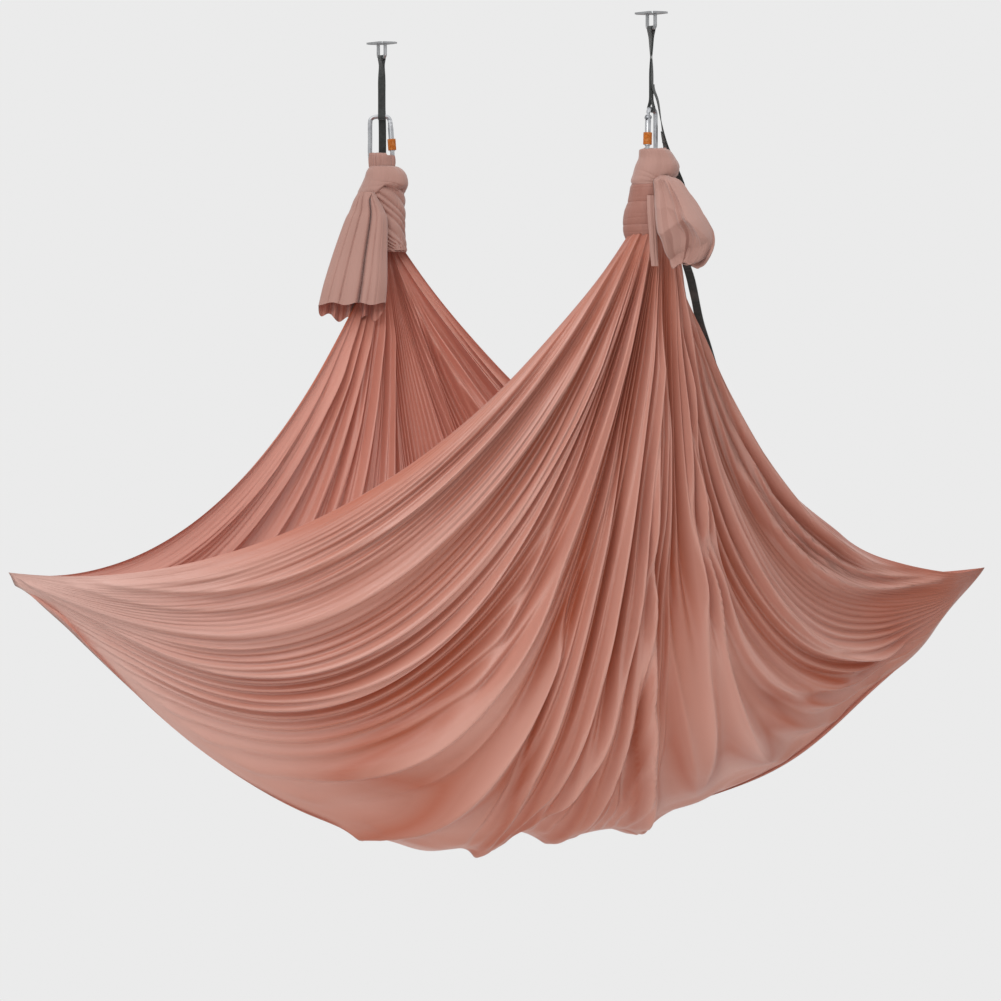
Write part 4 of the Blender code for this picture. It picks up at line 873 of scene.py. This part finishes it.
def smooth_rows(stations, count):
    """A curve of count even steps through the stations.

    Between two stations it is the cubic whose slope at each is half the way from the station before
    to the one after.
    """
    stations = np.asarray(stations, float)
    ends = np.vstack([2 * stations[0] - stations[1], stations, 2 * stations[-1] - stations[-2]])
    t = np.linspace(0, len(stations) - 1, count)
    i = np.minimum(t.astype(int), len(stations) - 2)
    f = (t - i)[:, None]
    a, b, c, d = ends[i], ends[i + 1], ends[i + 2], ends[i + 3]
    return 0.5 * (2 * b + (c - a) * f + (2 * a - 5 * b + 4 * c - d) * f ** 2
                  + (3 * b - a - 3 * c + d) * f ** 3)


# %% Strands and soft pieces


def uneven(angle, seed, amount=0.35):
    """The angle with its even spacing disturbed by three slow waves, so that folds differ."""
    random = np.random.default_rng(seed)
    result = np.array(angle, float)
    for k in (1, 2, 3):
        result = result + amount / k * np.sin(k * angle + random.uniform(0, 6.28))
    return result


def strands(phase, count, sharp=0.7):
    """1 on the rounded back of each strand and 0 in the sharp crease between two of them."""
    return np.abs(np.sin(count * phase / 2)) ** sharp


def tube_grid(columns, rows, first_angle=0.0):
    """The angle round a tube, one for each column, and the share of its length, one for each row."""
    angle = np.linspace(first_angle, first_angle + 2 * math.pi, columns, endpoint=False)[:, None]
    return angle, np.linspace(0, 1, rows)[None]


def tube_uv(points, girth, length):
    """Flat sizes in metres: u runs round the tube's girth and v along its length."""
    columns, rows = points.shape[:2]
    u, v = np.meshgrid(np.linspace(0, girth, columns), np.linspace(0, length, rows), indexing="ij")
    return np.stack([u, v], axis=-1)


def soft_piece(name, points, node, uv, finish=dull_back):
    """A soft tube that faces outwards, rides with the hammock and stands for a CAD solid.

    `uv` is the tube's girth and length in metres, or each point's place on the flat band.
    """
    if isinstance(uv, tuple):
        uv = tube_uv(points, *uv)
    facing = np.cross(np.gradient(points, axis=0)[1:-1], np.gradient(points, axis=1)[1:-1])
    from_middle = (points - points.mean(axis=0))[1:-1]
    if (facing * from_middle).sum() < 0:
        points, uv = points[::-1], uv[::-1]
    made = grid_mesh(name, points, closed=True, uv=uv)
    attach(made, "hammock")
    if node:
        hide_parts(node)
    made.data.materials.append(finish)
    print(name, "with", len(made.data.polygons) * 2, "triangles")


def gathered_tube(side, stations, count, twist, depth, seed, columns=288, rows=90, ruffle=0.0):
    """A tube whose strands wind by `twist` radians on the way down, cut `depth` deep by creases."""
    right, deep, z, wide, thick = smooth_rows(stations, rows).T
    angle, share = tube_grid(columns, rows)
    phase = uneven(angle - twist * share, seed)
    scale = 1 - depth * (1 - strands(phase, count)) + 0.02 * np.sin(3 * angle + 9 * share + seed)
    lift = ruffle * np.sin(count / 2 * phase) * (1 - share) ** 4
    return in_view(side, right + wide * scale * np.cos(angle), deep + thick * scale * np.sin(angle),
                   z + lift)


# %% Collars, wraps and necks
GATE_EDGE = 0.006
GATE_DIP = 0.006


def collar(side, top, low, right, wide, thick, gate_way, gate_from, seed):
    """A ruffled tube that rounds over the carabiner's bar and runs straight down from it.

    Its top dips a little on the side where the gate closes.
    """
    stations = [(right, 0, top - 0.004, 0.80 * wide, 0.10 * thick),
                (right, 0, top, 0.88 * wide, 0.55 * thick),
                (right, 0, top - 0.005, 0.97 * wide, 0.92 * thick),
                (right, 0, (top + low) / 2, wide, thick), (right, 0, low, 0.9 * wide, 0.95 * thick)]
    points = gathered_tube(side, stations, 16, 0.15, 0.14, seed, ruffle=0.0025)
    gate_side = smooth_step(gate_from, gate_from + GATE_EDGE, (points - ANCHOR[side]) @ gate_way)
    points[..., 2] = np.minimum(points[..., 2], top - GATE_DIP * gate_side)
    soft_piece(side + "_collar_cloth", points, side + "_knot_collar", (2.0, 0.05))


collar("left", -0.2508, -0.2938, 0.0, 0.031, 0.022, VIEW_RIGHT, 0.008, 1)
collar("right", -0.2888, -0.3318, 0.008, 0.0264, 0.031, -VIEW_DEEP, 0.006, 2)

LEFT_NECK = [(0, 0, -0.294, 0.026, 0.021), (0, -0.004, -0.335, 0.031, 0.028),
             (0.004, -0.010, -0.375, 0.034, 0.031), (0.012, -0.028, -0.425, 0.037, 0.034),
             (0.022, -0.038, -0.474, 0.037, 0.037)]
RIGHT_NECK = [(0.006, 0, -0.332, 0.024, 0.027), (0.004, 0, -0.365, 0.032, 0.032),
              (0.000, 0.006, -0.400, 0.038, 0.037), (-0.006, 0.012, -0.440, 0.044, 0.044),
              (-0.0085, 0.0147, -0.474, 0.049, 0.049)]
for side, stations, twist, seed in (("left", LEFT_NECK, 1.2, 3), ("right", RIGHT_NECK, 0.8, 4)):
    soft_piece(side + "_neck_cloth", gathered_tube(side, stations, 22, twist, 0.12, seed),
               side + "_knot_neck", (2.8, 0.2))

# %% [markdown]
# The upper turn lies over the knot like a dome and bulges to the right.  Below it the left knot is
# one twisted bundle whose creases run down to the right, and the right knot shows three flat turns,
# each a little wider than the one above.

# %% The upper turns
LEFT_DOME = [(0.002, 0, -0.281, 0.026, 0.024), (0.005, -0.001, -0.284, 0.034, 0.032),
             (0.008, -0.002, -0.294, 0.043, 0.040), (0.0095, -0.003, -0.308, 0.0485, 0.046),
             (0.006, -0.004, -0.328, 0.054, 0.050), (-0.001, -0.006, -0.343, 0.0535, 0.050),
             (-0.002, -0.006, -0.350, 0.048, 0.045), (-0.002, -0.006, -0.347, 0.040, 0.038)]
RIGHT_DOME = [(0.004, 0, -0.2915, 0.026, 0.030), (0.007, 0, -0.295, 0.033, 0.036),
              (0.0125, 0, -0.311, 0.0395, 0.040), (0.0135, 0, -0.328, 0.0475, 0.046),
              (0.0095, 0, -0.345, 0.0485, 0.048), (0.001, 0, -0.360, 0.045, 0.046),
              (0.000, 0, -0.367, 0.041, 0.042), (0.000, 0, -0.364, 0.035, 0.036)]
ARCH_ANGLE = -1.33
CREASE_SLOPES = (-0.30, -0.19, -0.09, 0.02, 0.12)
CREASE_DEPTH = 0.045
CREASE_WIDTH = 0.022
PINCH_DEPTH = 0.10


def turned_from(angle, middle):
    """The angle counted from the middle, between -pi and pi."""
    return np.arctan2(np.sin(angle - middle), np.cos(angle - middle))


def dome(side, stations, seed, knuckle, arch):
    """A turn of cloth with a few long creases that run together at the knuckle's angle.

    Its lower edge rises by `arch` in front, steeply on the left and slowly falling to the right.
    """
    columns, rows = 360, 120
    right, deep, z, wide, thick = smooth_rows(stations, rows).T
    angle, share = tube_grid(columns, rows, -math.pi)
    toward = turned_from(angle, knuckle)
    centre = 0.66 + 0.05 * np.sin(angle + seed)
    scale = 1 + 0.03 * bell(toward, 0, 0.5)
    for k, slope in enumerate(CREASE_SLOPES):
        line = centre + slope * np.tanh(toward / 0.8) + 0.02 * np.sin(3 * angle + k + seed)
        near = np.exp(-np.abs(share - line) / CREASE_WIDTH) * bell(toward, 0, 1.3)
        scale = scale - CREASE_DEPTH * near
    pinch = bell(share, 0.72, 0.12) * bell(toward, 0, 0.16)
    scale = scale - PINCH_DEPTH * pinch + 0.012 * np.sin(5 * angle + 7 * share + seed)
    beside = turned_from(angle, ARCH_ANGLE)
    bow = bell(beside, 0, np.where(beside < 0, 0.36, 0.85))
    wave = 0.005 * np.sin(angle - knuckle - 1.2) * smooth_step(0.5, 0.9, share)
    wave = wave + arch * bow * smooth_step(0.40, 0.85, share)
    return in_view(side, right + wide * scale * np.cos(angle), deep + thick * scale * np.sin(angle),
                   z + wave)


for side, stations, seed, knuckle, arch in (("left", LEFT_DOME, 1.0, -0.45, 0.026),
                                            ("right", RIGHT_DOME, 2.0, -0.95, 0.0)):
    soft_piece(side + "_upper_turn", dome(side, stations, seed, knuckle, arch),
               side + "_knot_upper_wrap", (0.9, 0.25))

# %% The lower turns
LEFT_TWIST = [(0.000, -0.004, -0.320, 0.044, 0.042), (0.002, -0.006, -0.342, 0.0495, 0.046),
              (0.003, -0.010, -0.370, 0.0505, 0.047), (0.005, -0.017, -0.400, 0.0495, 0.046),
              (0.009, -0.026, -0.432, 0.046, 0.043), (0.016, -0.034, -0.460, 0.041, 0.040),
              (0.020, -0.037, -0.478, 0.036, 0.036)]
soft_piece("left_twisted_turns", gathered_tube("left", LEFT_TWIST, 11, 4.8, 0.12, 5, 360, 200),
           "left_knot_lower_wrap", (1.6, 0.35))

RIGHT_TURNS = [(0.002, 0.000, -0.352, 0.040, 0.042), (0.002, 0.001, -0.368, 0.0445, 0.045),
               (0.001, 0.003, -0.388, 0.046, 0.046), (-0.001, 0.005, -0.405, 0.048, 0.047),
               (-0.005, 0.008, -0.425, 0.050, 0.049), (-0.007, 0.011, -0.452, 0.0515, 0.050),
               (-0.007, 0.013, -0.472, 0.049, 0.049), (-0.0085, 0.0147, -0.484, 0.044, 0.044)]
TURN_EDGES = (-0.366, -0.402, -0.451, -0.482)
TURN_TILT = 0.08
TURN_SWELL = 0.055
TURN_CREASES = 3
TURN_CREASE_DEPTH, TURN_CREASE_WIDTH = 0.014, 0.0011


def stepped_turns(side, stations, edges):
    """Flat turns one above the other: each swells out below its own tilted upper edge."""
    columns, rows = 320, 260
    right, deep, z, wide, thick = smooth_rows(stations, rows).T
    angle, _ = tube_grid(columns, rows)
    level = z[None] - TURN_TILT * wide * np.cos(angle) + 0.0012 * np.sin(3 * angle)
    scale = np.ones_like(level)
    for k, (top, low) in enumerate(zip(edges[:-1], edges[1:])):
        inside = np.clip((top - level) / (top - low), 0, 1)
        scale += TURN_SWELL * (4 * inside * (1 - inside)) ** 0.35 * (level <= top) * (level >= low)
        for j in range(TURN_CREASES):
            line = top - (0.25 + 0.22 * j + 0.06 * np.sin(angle + k + 2 * j)) * (top - low)
            fade = 0.5 + 0.5 * np.sin(2 * angle + 1.7 * k + 2.3 * j)
            scale -= TURN_CREASE_DEPTH * fade * np.exp(-np.abs(level - line) / TURN_CREASE_WIDTH)
    return in_view(side, right + wide * scale * np.cos(angle), deep + thick * scale * np.sin(angle), z)


# The flat turns wear the darker knit, which holds painted shade.
soft_piece("right_flat_turns", stepped_turns("right", RIGHT_TURNS, TURN_EDGES), "right_knot_lower_wrap",
           (0.9, 0.5), finish=turns_knit_with_shade)

# %% [markdown]
# ## The tails
# The cloth's free ends hang below the knots.  The left tail is a flat folded tube that opens at its
# hem, whose far side hangs lower, and a deep crease runs down its front.  The right tail is a crumpled
# bag with sharp facets and a narrow strip.  Both could be sculpted by hand; sums of a few waves give
# folds of the same kind that stay the same on every run.

# %% The left tail
LEFT_TAIL = [(-0.034, -0.055, -0.342, 0.018, 0.012), (-0.034, -0.062, -0.362, 0.029, 0.017),
             (-0.032, -0.070, -0.386, 0.040, 0.019), (-0.0345, -0.080, -0.410, 0.049, 0.020),
             (-0.0465, -0.105, -0.480, 0.061, 0.022), (-0.057, -0.135, -0.550, 0.0715, 0.024),
             (-0.0645, -0.150, -0.598, 0.0755, 0.026)]
HEM_DROP = 0.034
# place across the front (-1 to 1), depth as a share of the deep crease's
SHALLOW_CREASES = [(-0.62, 0.10), (-0.28, 0.14), (0.55, 0.12), (0.80, 0.08)]


def left_tail_points():
    """A flattened tube whose front is cut by creases, each exp(-distance / width) across it.

    The far side ripples more and more towards its hem, and its hem hangs lower.
    """
    columns, rows = 480, 150
    right, deep, z, wide, thick = smooth_rows(LEFT_TAIL, rows).T
    angle, share = tube_grid(columns, rows, -math.pi)
    x = np.sign(np.cos(angle)) * np.abs(np.cos(angle)) ** 0.9
    front = np.clip(-np.sin(angle), 0, 1)
    behind = np.clip(np.sin(angle), 0, 1)
    crease = np.exp(-np.abs(x - 0.20 - 0.75 * np.exp(-share / 0.08)) / 0.035)
    for line, thin in SHALLOW_CREASES:
        crease = crease + thin * np.exp(-np.abs(x - line + 0.10 * share) / 0.02)
    panel = bell(x, 0.62, 0.25)
    flutes = 0.06 * np.sin(9 * x + 1.0) + 0.03 * np.sin(17 * x + 2.0 + share)
    ruffle = smooth_step(0.55, 1.0, share) * behind * (0.55 * np.sin(15 * x) + 0.30 * np.sin(27 * x + 1))
    at_front = front ** 0.6 * (1 - 1.15 * crease * smooth_step(0.0, 0.2, share) + 0.35 * panel + flutes)
    at_back = behind ** 0.6 * (1 + 0.4 * flutes + ruffle)
    at_deep = deep + thick * (at_back - at_front)
    drop = HEM_DROP * smooth_step(0.80, 1.0, share) * behind ** 0.5 * (1 + 0.22 * np.sin(11 * x))
    return in_view("left", right + wide * x, at_deep, z - drop + 0.003 * np.sin(8 * x) * share ** 6)


soft_piece("left_tail_cloth", left_tail_points(), "left_tail", (1.2, 0.3))

# %% The right tail
RIGHT_TAIL = [(0.026, -0.044, -0.350, 0.010, 0.010), (0.0315, -0.058, -0.370, 0.031, 0.020),
              (0.0515, -0.072, -0.410, 0.047, 0.028), (0.066, -0.088, -0.450, 0.058, 0.034),
              (0.078, -0.098, -0.488, 0.059, 0.034), (0.075, -0.098, -0.522, 0.048, 0.028),
              (0.070, -0.094, -0.544, 0.030, 0.016), (0.068, -0.092, -0.540, 0.016, 0.008)]
FACET_WAVES = 5
FACET_SEED = 5
CRUMPLE_DEEP, CRUMPLE_WIDE, CRUMPLE_HIGH = 0.75, 0.12, 0.012


def facets(u, v, seed):
    """Crumpled cloth: the sum of sharp triangle waves in random directions, from about -1 to 1."""
    random = np.random.default_rng(seed)
    total = np.zeros(np.broadcast(u, v).shape)
    for k in range(FACET_WAVES):
        turn = random.uniform(0, math.pi)
        often = 1.1 + 0.62 * k
        shift = random.uniform(0, 6.28)
        wave = often * (u * math.cos(turn) + v * math.sin(turn)) + shift
        total += np.arcsin(np.sin(wave + 0.5 * np.sin(1.3 * wave + shift))) / (1.2 + 0.6 * k)
    return total / 1.8


def right_tail_points():
    """A tube that the facets push in depth, less so behind, in width and a little in height."""
    columns, rows = 420, 200
    right, deep, z, wide, thick = smooth_rows(RIGHT_TAIL, rows).T
    angle, share = tube_grid(columns, rows, -math.pi)
    x = np.cos(angle)
    y = np.sin(angle)
    crumple = facets(2.4 * x + 0.3 * y, 4.5 * share + 0.2 * y, FACET_SEED)
    strength = smooth_step(0.0, 0.2, share) * (1 - 0.5 * smooth_step(0.9, 1.0, share))
    at_deep = deep + thick * (y + CRUMPLE_DEEP * crumple * strength * np.where(y < 0, 1.0, 0.5))
    at_right = right + wide * (x + CRUMPLE_WIDE * crumple * strength)
    return in_view("right", at_right, at_deep, z + CRUMPLE_HIGH * crumple * strength)


soft_piece("right_tail_cloth", right_tail_points(), "right_tail", (1.2, 0.3))

STRIP = [(-0.001, -0.048, -0.392, 0.0095, 0.005), (0.000, -0.056, -0.430, 0.0097, 0.007),
         (0.002, -0.060, -0.470, 0.0090, 0.007), (0.004, -0.062, -0.510, 0.0085, 0.007),
         (0.0064, -0.064, -0.543, 0.0081, 0.006)]
soft_piece("right_tail_strip", gathered_tube("right", STRIP, 5, 0.2, 0.25, 8, 96, 90), None, (0.2, 0.2))

# %% [markdown]
# ## The straps
# Each strap is a daisy chain of black webbing.  One taut length runs round the ceiling eye and round
# the carabiner's top bar, turning on the way because eye and bar don't face the same way.  The spare
# length hangs behind the knot, with a second webbing sewn to it in pockets by bar tacks.  A curve
# with a bevel could make a strap, but a flat section that is carried along a path also takes the
# tacks, which are small raised rows of stitches on its outer face.

# %% A band of webbing
WEB_WIDE = 0.017
WEB_THICK = 0.0018
THREAD = 0.0011
TACK_LONG = 0.0035
TACK_RISE = 0.0009
TACK_WIDE_SHARE = 0.88
FACE_COLUMNS = 44
EDGE_COLUMNS = 6


def unit(vectors):
    """Each vector divided by its own length."""
    return vectors / np.linalg.norm(vectors, axis=-1)[..., None]


def run(path):
    """The length along a path up to each of its points."""
    return np.concatenate([[0], np.cumsum(np.linalg.norm(np.diff(path, axis=0), axis=1))])


def level_way(turn):
    """The level direction at this turn from X, as one row for each turn."""
    return np.stack([np.cos(turn), np.sin(turn), 0 * turn], axis=-1)


def band_ways(path, wide_way):
    """The wide way made square to the path, and the way off the face, their cross product."""
    along = unit(np.gradient(path, axis=0))
    wide = unit(wide_way - (wide_way * along).sum(1)[:, None] * along)
    return wide, np.cross(along, wide)


def band_section():
    """A flat band's outline: two straight faces joined by round edges, as shares of width and thickness."""
    across = np.linspace(-1, 1, FACE_COLUMNS)
    bend = np.linspace(-math.pi / 2, math.pi / 2, EDGE_COLUMNS + 2)[1:-1]
    edge = WEB_THICK / WEB_WIDE
    top = np.stack([across * (1 - edge), np.ones_like(across)])
    right = np.stack([1 - edge + edge * np.cos(bend), -np.sin(bend)])
    return np.concatenate([top, right, -top, -right], axis=1)


def band(path, wide_way, tacks=()):
    """The section set across the path; a stitched tack lifts the outer face in rows of threads."""
    wide, face = band_ways(path, wide_way)
    x, y = band_section()
    reach = run(path)
    lift = np.zeros((len(x), len(path)))
    for tack in tacks:
        inside = np.clip(1 - (np.abs(reach - tack) / (TACK_LONG / 2)) ** 4, 0, 1)[None]
        threads = 0.6 + 0.4 * np.abs(np.sin(math.pi * x * WEB_WIDE / 2 / THREAD))
        lift += TACK_RISE * inside * (threads * (y > 0.99) * (np.abs(x) < TACK_WIDE_SHARE))[:, None]
    sideways = (x * WEB_WIDE / 2)[:, None, None] * wide[None]
    outward = (y[:, None] * WEB_THICK / 2 + lift)[..., None] * face[None]
    points = path[None] + sideways + outward
    girth = np.concatenate([[0], np.cumsum(np.hypot(np.diff(x) * WEB_WIDE / 2, np.diff(y) * WEB_THICK / 2))])
    return points, np.stack(np.broadcast_arrays(girth[:, None], reach[None]), axis=-1)


print("webbing", round(WEB_WIDE * 1000), "mm wide, with", band_section().shape[1], "points round it")

# %% Black webbing
webbing, tree, shader = new_material("black_webbing", (0.020, 0.024, 0.022), 0.72)
shader.inputs["Sheen Weight"].default_value = 0.3
threads = place(tree, weave, flat_way(tree), across=1.0 / THREAD, along=760.0)
fuzz = place(tree, grain, flat_way(tree), scale=90.0, low=0.35, high=0.7)
# Painted shade in the dips between threads and a painted sheen on their tops.
base = blend_colours(tree, threads, (0.008, 0.010, 0.009), (0.034, 0.040, 0.037))
feed(tree, shader, blend_colours(tree, fuzz, base, (0.045, 0.050, 0.047)),
     between(tree, threads, 0.85, 0.62))
raise_surface(tree, shader, (threads, 0.9, 0.0005))
print(webbing.name, "with", len(tree.nodes), "nodes")

# %% The taut lengths
EYE_DROP = 0.035
EYE_BAR = 0.004
BAR = 0.005
AIR = 0.0003
LEG_GAP = 0.0010
LOOP_TAPER = 0.013
LEG_POINTS = 100
BEND_POINTS = 25
TWIST_SHARE = 0.62
LEFT_TOP = -0.164
RIGHT_TOP = -0.202
RIGHT_TURN = math.radians(-141.0)


def loop_path(anchor, top, bar_turn):
    """Round the eye, down, round the bar and up; both legs close up by a bell curve of the height.

    The band's width lies along the eye's bar at first and turns to the carabiner's bar by a cosine.
    """
    start = anchor - EYE_DROP * UP
    length = -EYE_DROP - (top - BAR)
    eye_radius = EYE_BAR + AIR + WEB_THICK / 2
    bar_radius = BAR + AIR + WEB_THICK / 2
    middle = (WEB_THICK + LEG_GAP) / 2
    share = np.linspace(0, 1, LEG_POINTS + 2)[1:-1]
    offset = (middle + (eye_radius - middle) * bell(share * length, 0, LOOP_TAPER)
              + (bar_radius - middle) * bell((1 - share) * length, 0, LOOP_TAPER))
    over = np.linspace(math.pi, 0, BEND_POINTS)
    under = np.linspace(0, -math.pi, BEND_POINTS)
    out = np.concatenate([eye_radius * np.cos(over), offset, bar_radius * np.cos(under), -offset[::-1]])
    down = np.concatenate([eye_radius * np.sin(over), -share * length,
                           bar_radius * np.sin(under) - length, -share[::-1] * length])
    reached = np.concatenate([0 * over, share, 1 + 0 * under, share[::-1]])
    twist = bar_turn % math.pi - math.pi / 2
    turn = math.pi / 2 + twist * (0.5 - 0.5 * np.cos(math.pi * np.minimum(reached / TWIST_SHARE, 1)))
    wide = level_way(turn)
    outward = np.stack([np.sin(turn), -np.cos(turn), 0 * turn], axis=-1)
    path = start + outward * out[:, None] + UP * down[:, None]
    return np.vstack([path, path[:1]]), np.vstack([wide, wide[:1]])


for side, top, bar_turn in (("left", LEFT_TOP, VIEW_TURN), ("right", RIGHT_TOP, RIGHT_TURN)):
    points, uv = band(*loop_path(ANCHOR[side], top, bar_turn))
    points[:, -1] = points[:, 0]
    soft_piece(side + "_taut_webbing", points, side + "_strap_loop", uv, webbing)

# %% The spare lengths
POCKET_BULGE = 0.010
SEWN_GAP = 0.0008
OVERHANG = 0.03
SPARE_POINTS = 760
LEG_AWAY = 0.0037
# to the right, away from the viewer, height, turn of the band in radians
LEFT_SPARE = [(0, LEG_AWAY, -0.124, 0), (0, 0.0055, -0.134, 0), (0, 0.012, -0.152, 0),
              (0.001, 0.022, -0.190, 0), (0.001, 0.036, -0.250, 0), (0, 0.058, -0.300, 0),
              (0, 0.068, -0.360, 0), (0, 0.070, -0.450, 0), (0, 0.067, -0.550, 0),
              (0, 0.064, -0.680, 0), (0, 0.062, -0.800, 0)]
LEG_OUT = LEG_AWAY * np.array([-math.sin(RIGHT_TURN), math.cos(RIGHT_TURN), 0.0])
LEG_RIGHT, LEG_DEEP = float(LEG_OUT @ VIEW_RIGHT), float(LEG_OUT @ VIEW_DEEP)
RIGHT_SPARE = [(LEG_RIGHT, LEG_DEEP, -0.154, 0), (LEG_RIGHT + 0.0018, LEG_DEEP, -0.166, 0),
               (0.014, 0.002, -0.190, 0.10), (0.022, 0.012, -0.235, 0.35),
               (0.033, 0.036, -0.283, 0.80), (0.054, 0.056, -0.335, 1.30),
               (0.069, 0.066, -0.385, 1.60), (0.068, 0.080, -0.470, 1.94),
               (0.076, 0.100, -0.527, 1.94), (0.090, 0.132, -0.572, 1.94),
               (0.108, 0.190, -0.651, 1.94), (0.126, 0.232, -0.705, 1.94),
               (0.146, 0.285, -0.770, 1.94), (0.166, 0.355, -0.850, 1.94)]
LEFT_TACKS = np.array([0.18, 0.32, 0.46, 0.60, 0.74, 0.88])
RIGHT_TACKS = np.array([0.16, 0.28, 0.40, 0.51, 0.62, 0.73, 0.84, 0.94])


def spare_length(side, stations, start_turn, tacks):
    """The base webbing along the stations, and its pockets, lifted by sin squared between two tacks."""
    steps = smooth_rows(stations, SPARE_POINTS)
    path = in_view(side, *steps[:, :3].T)
    wide = level_way(start_turn + steps[:, 3])
    points, uv = band(path, wide)
    soft_piece(side + "_spare_webbing", points, side + "_strap_tail", uv, webbing)
    share = run(path) / run(path)[-1]
    phase = (share[:, None] - tacks[:-1]) / (tacks[1:] - tacks[:-1])
    bulge = np.where((phase > 0) & (phase < 1), np.sin(math.pi * phase) ** 2, 0).sum(1)
    _, face = band_ways(path, wide)
    raised = path + face * (WEB_THICK + SEWN_GAP + POCKET_BULGE * bulge)[:, None]
    used = (share > tacks[0] - OVERHANG) & (share < tacks[-1] + OVERHANG)
    points, uv = band(raised[used], wide[used], np.interp(tacks, share[used], run(raised[used])))
    soft_piece(side + "_pocket_webbing", points, side + "_strap_pockets", uv, webbing)
    print(side, "spare webbing", round(float(run(path)[-1]), 3), "m,", len(tacks), "bar tacks")


spare_length("left", LEFT_SPARE, VIEW_TURN, LEFT_TACKS)
spare_length("right", RIGHT_SPARE, RIGHT_TURN, RIGHT_TACKS)

# %% [markdown]
# ## Floor and light
# The hammock hangs over a pale round floor, in soft light from all around that is brighter above than
# below; the camera sees a plain grey behind it instead of that light.  Two broad softboxes stand in
# front, a strong one high up to the left and a weaker one below the middle.  Satin mirrors such wide
# lamps as long soft streaks along its folds, which a small lamp would make hard and thin.

# %% Floor
FLOOR_Z = -2.45
FLOOR_RADIUS = 2.4
FLOOR_SIDES = 96
turn = np.linspace(0, 2 * math.pi, FLOOR_SIDES, endpoint=False)[:, None]
radius = np.array([0.0, 0.5, 1.0])[None] * FLOOR_RADIUS
disc = np.stack(np.broadcast_arrays(radius * np.cos(turn), MIDDLE_Y + radius * np.sin(turn), FLOOR_Z),
                axis=-1)
floor = grid_mesh("pale_floor", disc[:, ::-1], closed=True)
paint, tree, shader = new_material("pale_floor_paint", (0.80, 0.80, 0.79), 0.6)
smudges = place(tree, grain, object_way(tree), scale=1.5, low=0.3, high=0.8)
feed(tree, shader, blend_colours(tree, smudges, (0.81, 0.81, 0.80), (0.78, 0.78, 0.77)))
floor.data.materials.append(paint)
print("floor", 2 * FLOOR_RADIUS, "m across, at a height of", FLOOR_Z)

# %% World and softboxes
SKY = {"From Min": -0.6, "From Max": 0.9, "To Min": 0.20, "To Max": 1.12}
BACKGROUND = (0.83, 0.83, 0.83, 1)
world = bpy.data.worlds.new("studio")
bpy.context.scene.world = world
world.use_nodes = True
tree = world.node_tree
lit = tree.nodes["Background"]
direction = tree.nodes.new("ShaderNodeTexCoord")
split = tree.nodes.new("ShaderNodeSeparateXYZ")
tree.links.new(direction.outputs["Generated"], split.inputs[0])
sky = tree.nodes.new("ShaderNodeMapRange")
for label, value in SKY.items():
    sky.inputs[label].default_value = value
tree.links.new(split.outputs["Z"], sky.inputs["Value"])
tree.links.new(sky.outputs["Result"], lit.inputs["Strength"])
lit.inputs["Color"].default_value = (1, 1, 1, 1)
seen = tree.nodes.new("ShaderNodeBackground")
seen.inputs["Color"].default_value = BACKGROUND
light_path = tree.nodes.new("ShaderNodeLightPath")
mix = tree.nodes.new("ShaderNodeMixShader")
tree.links.new(light_path.outputs["Is Camera Ray"], mix.inputs[0])
tree.links.new(lit.outputs[0], mix.inputs[1])
tree.links.new(seen.outputs[0], mix.inputs[2])
tree.links.new(mix.outputs[0], tree.nodes["World Output"].inputs["Surface"])


def softbox(name, power, size, right, front, up):
    """A rectangular lamp at that place beside, before and above the middle, turned towards it."""
    light = bpy.data.lights.new(name, "AREA")
    light.energy = power
    light.shape = "RECTANGLE"
    light.size, light.size_y = size
    lamp = bpy.data.objects.new(name, light)
    bpy.context.scene.collection.objects.link(lamp)
    lamp.location = looks_at + right * VIEW_RIGHT - front * VIEW_DEEP + up * UP
    lamp.rotation_euler = Vector(looks_at - np.array(lamp.location)).to_track_quat("-Z", "Y").to_euler()
    lamp.visible_camera = False
    print(name, "at", [round(value, 2) for value in lamp.location])


softbox("high_softbox", power=62, size=(3.0, 2.0), right=-1.6, front=4.2, up=2.6)
softbox("low_softbox", power=34, size=(3.2, 2.0), right=-0.4, front=5.4, up=-1.25)

bpy.context.scene.view_settings.view_transform = "Standard"
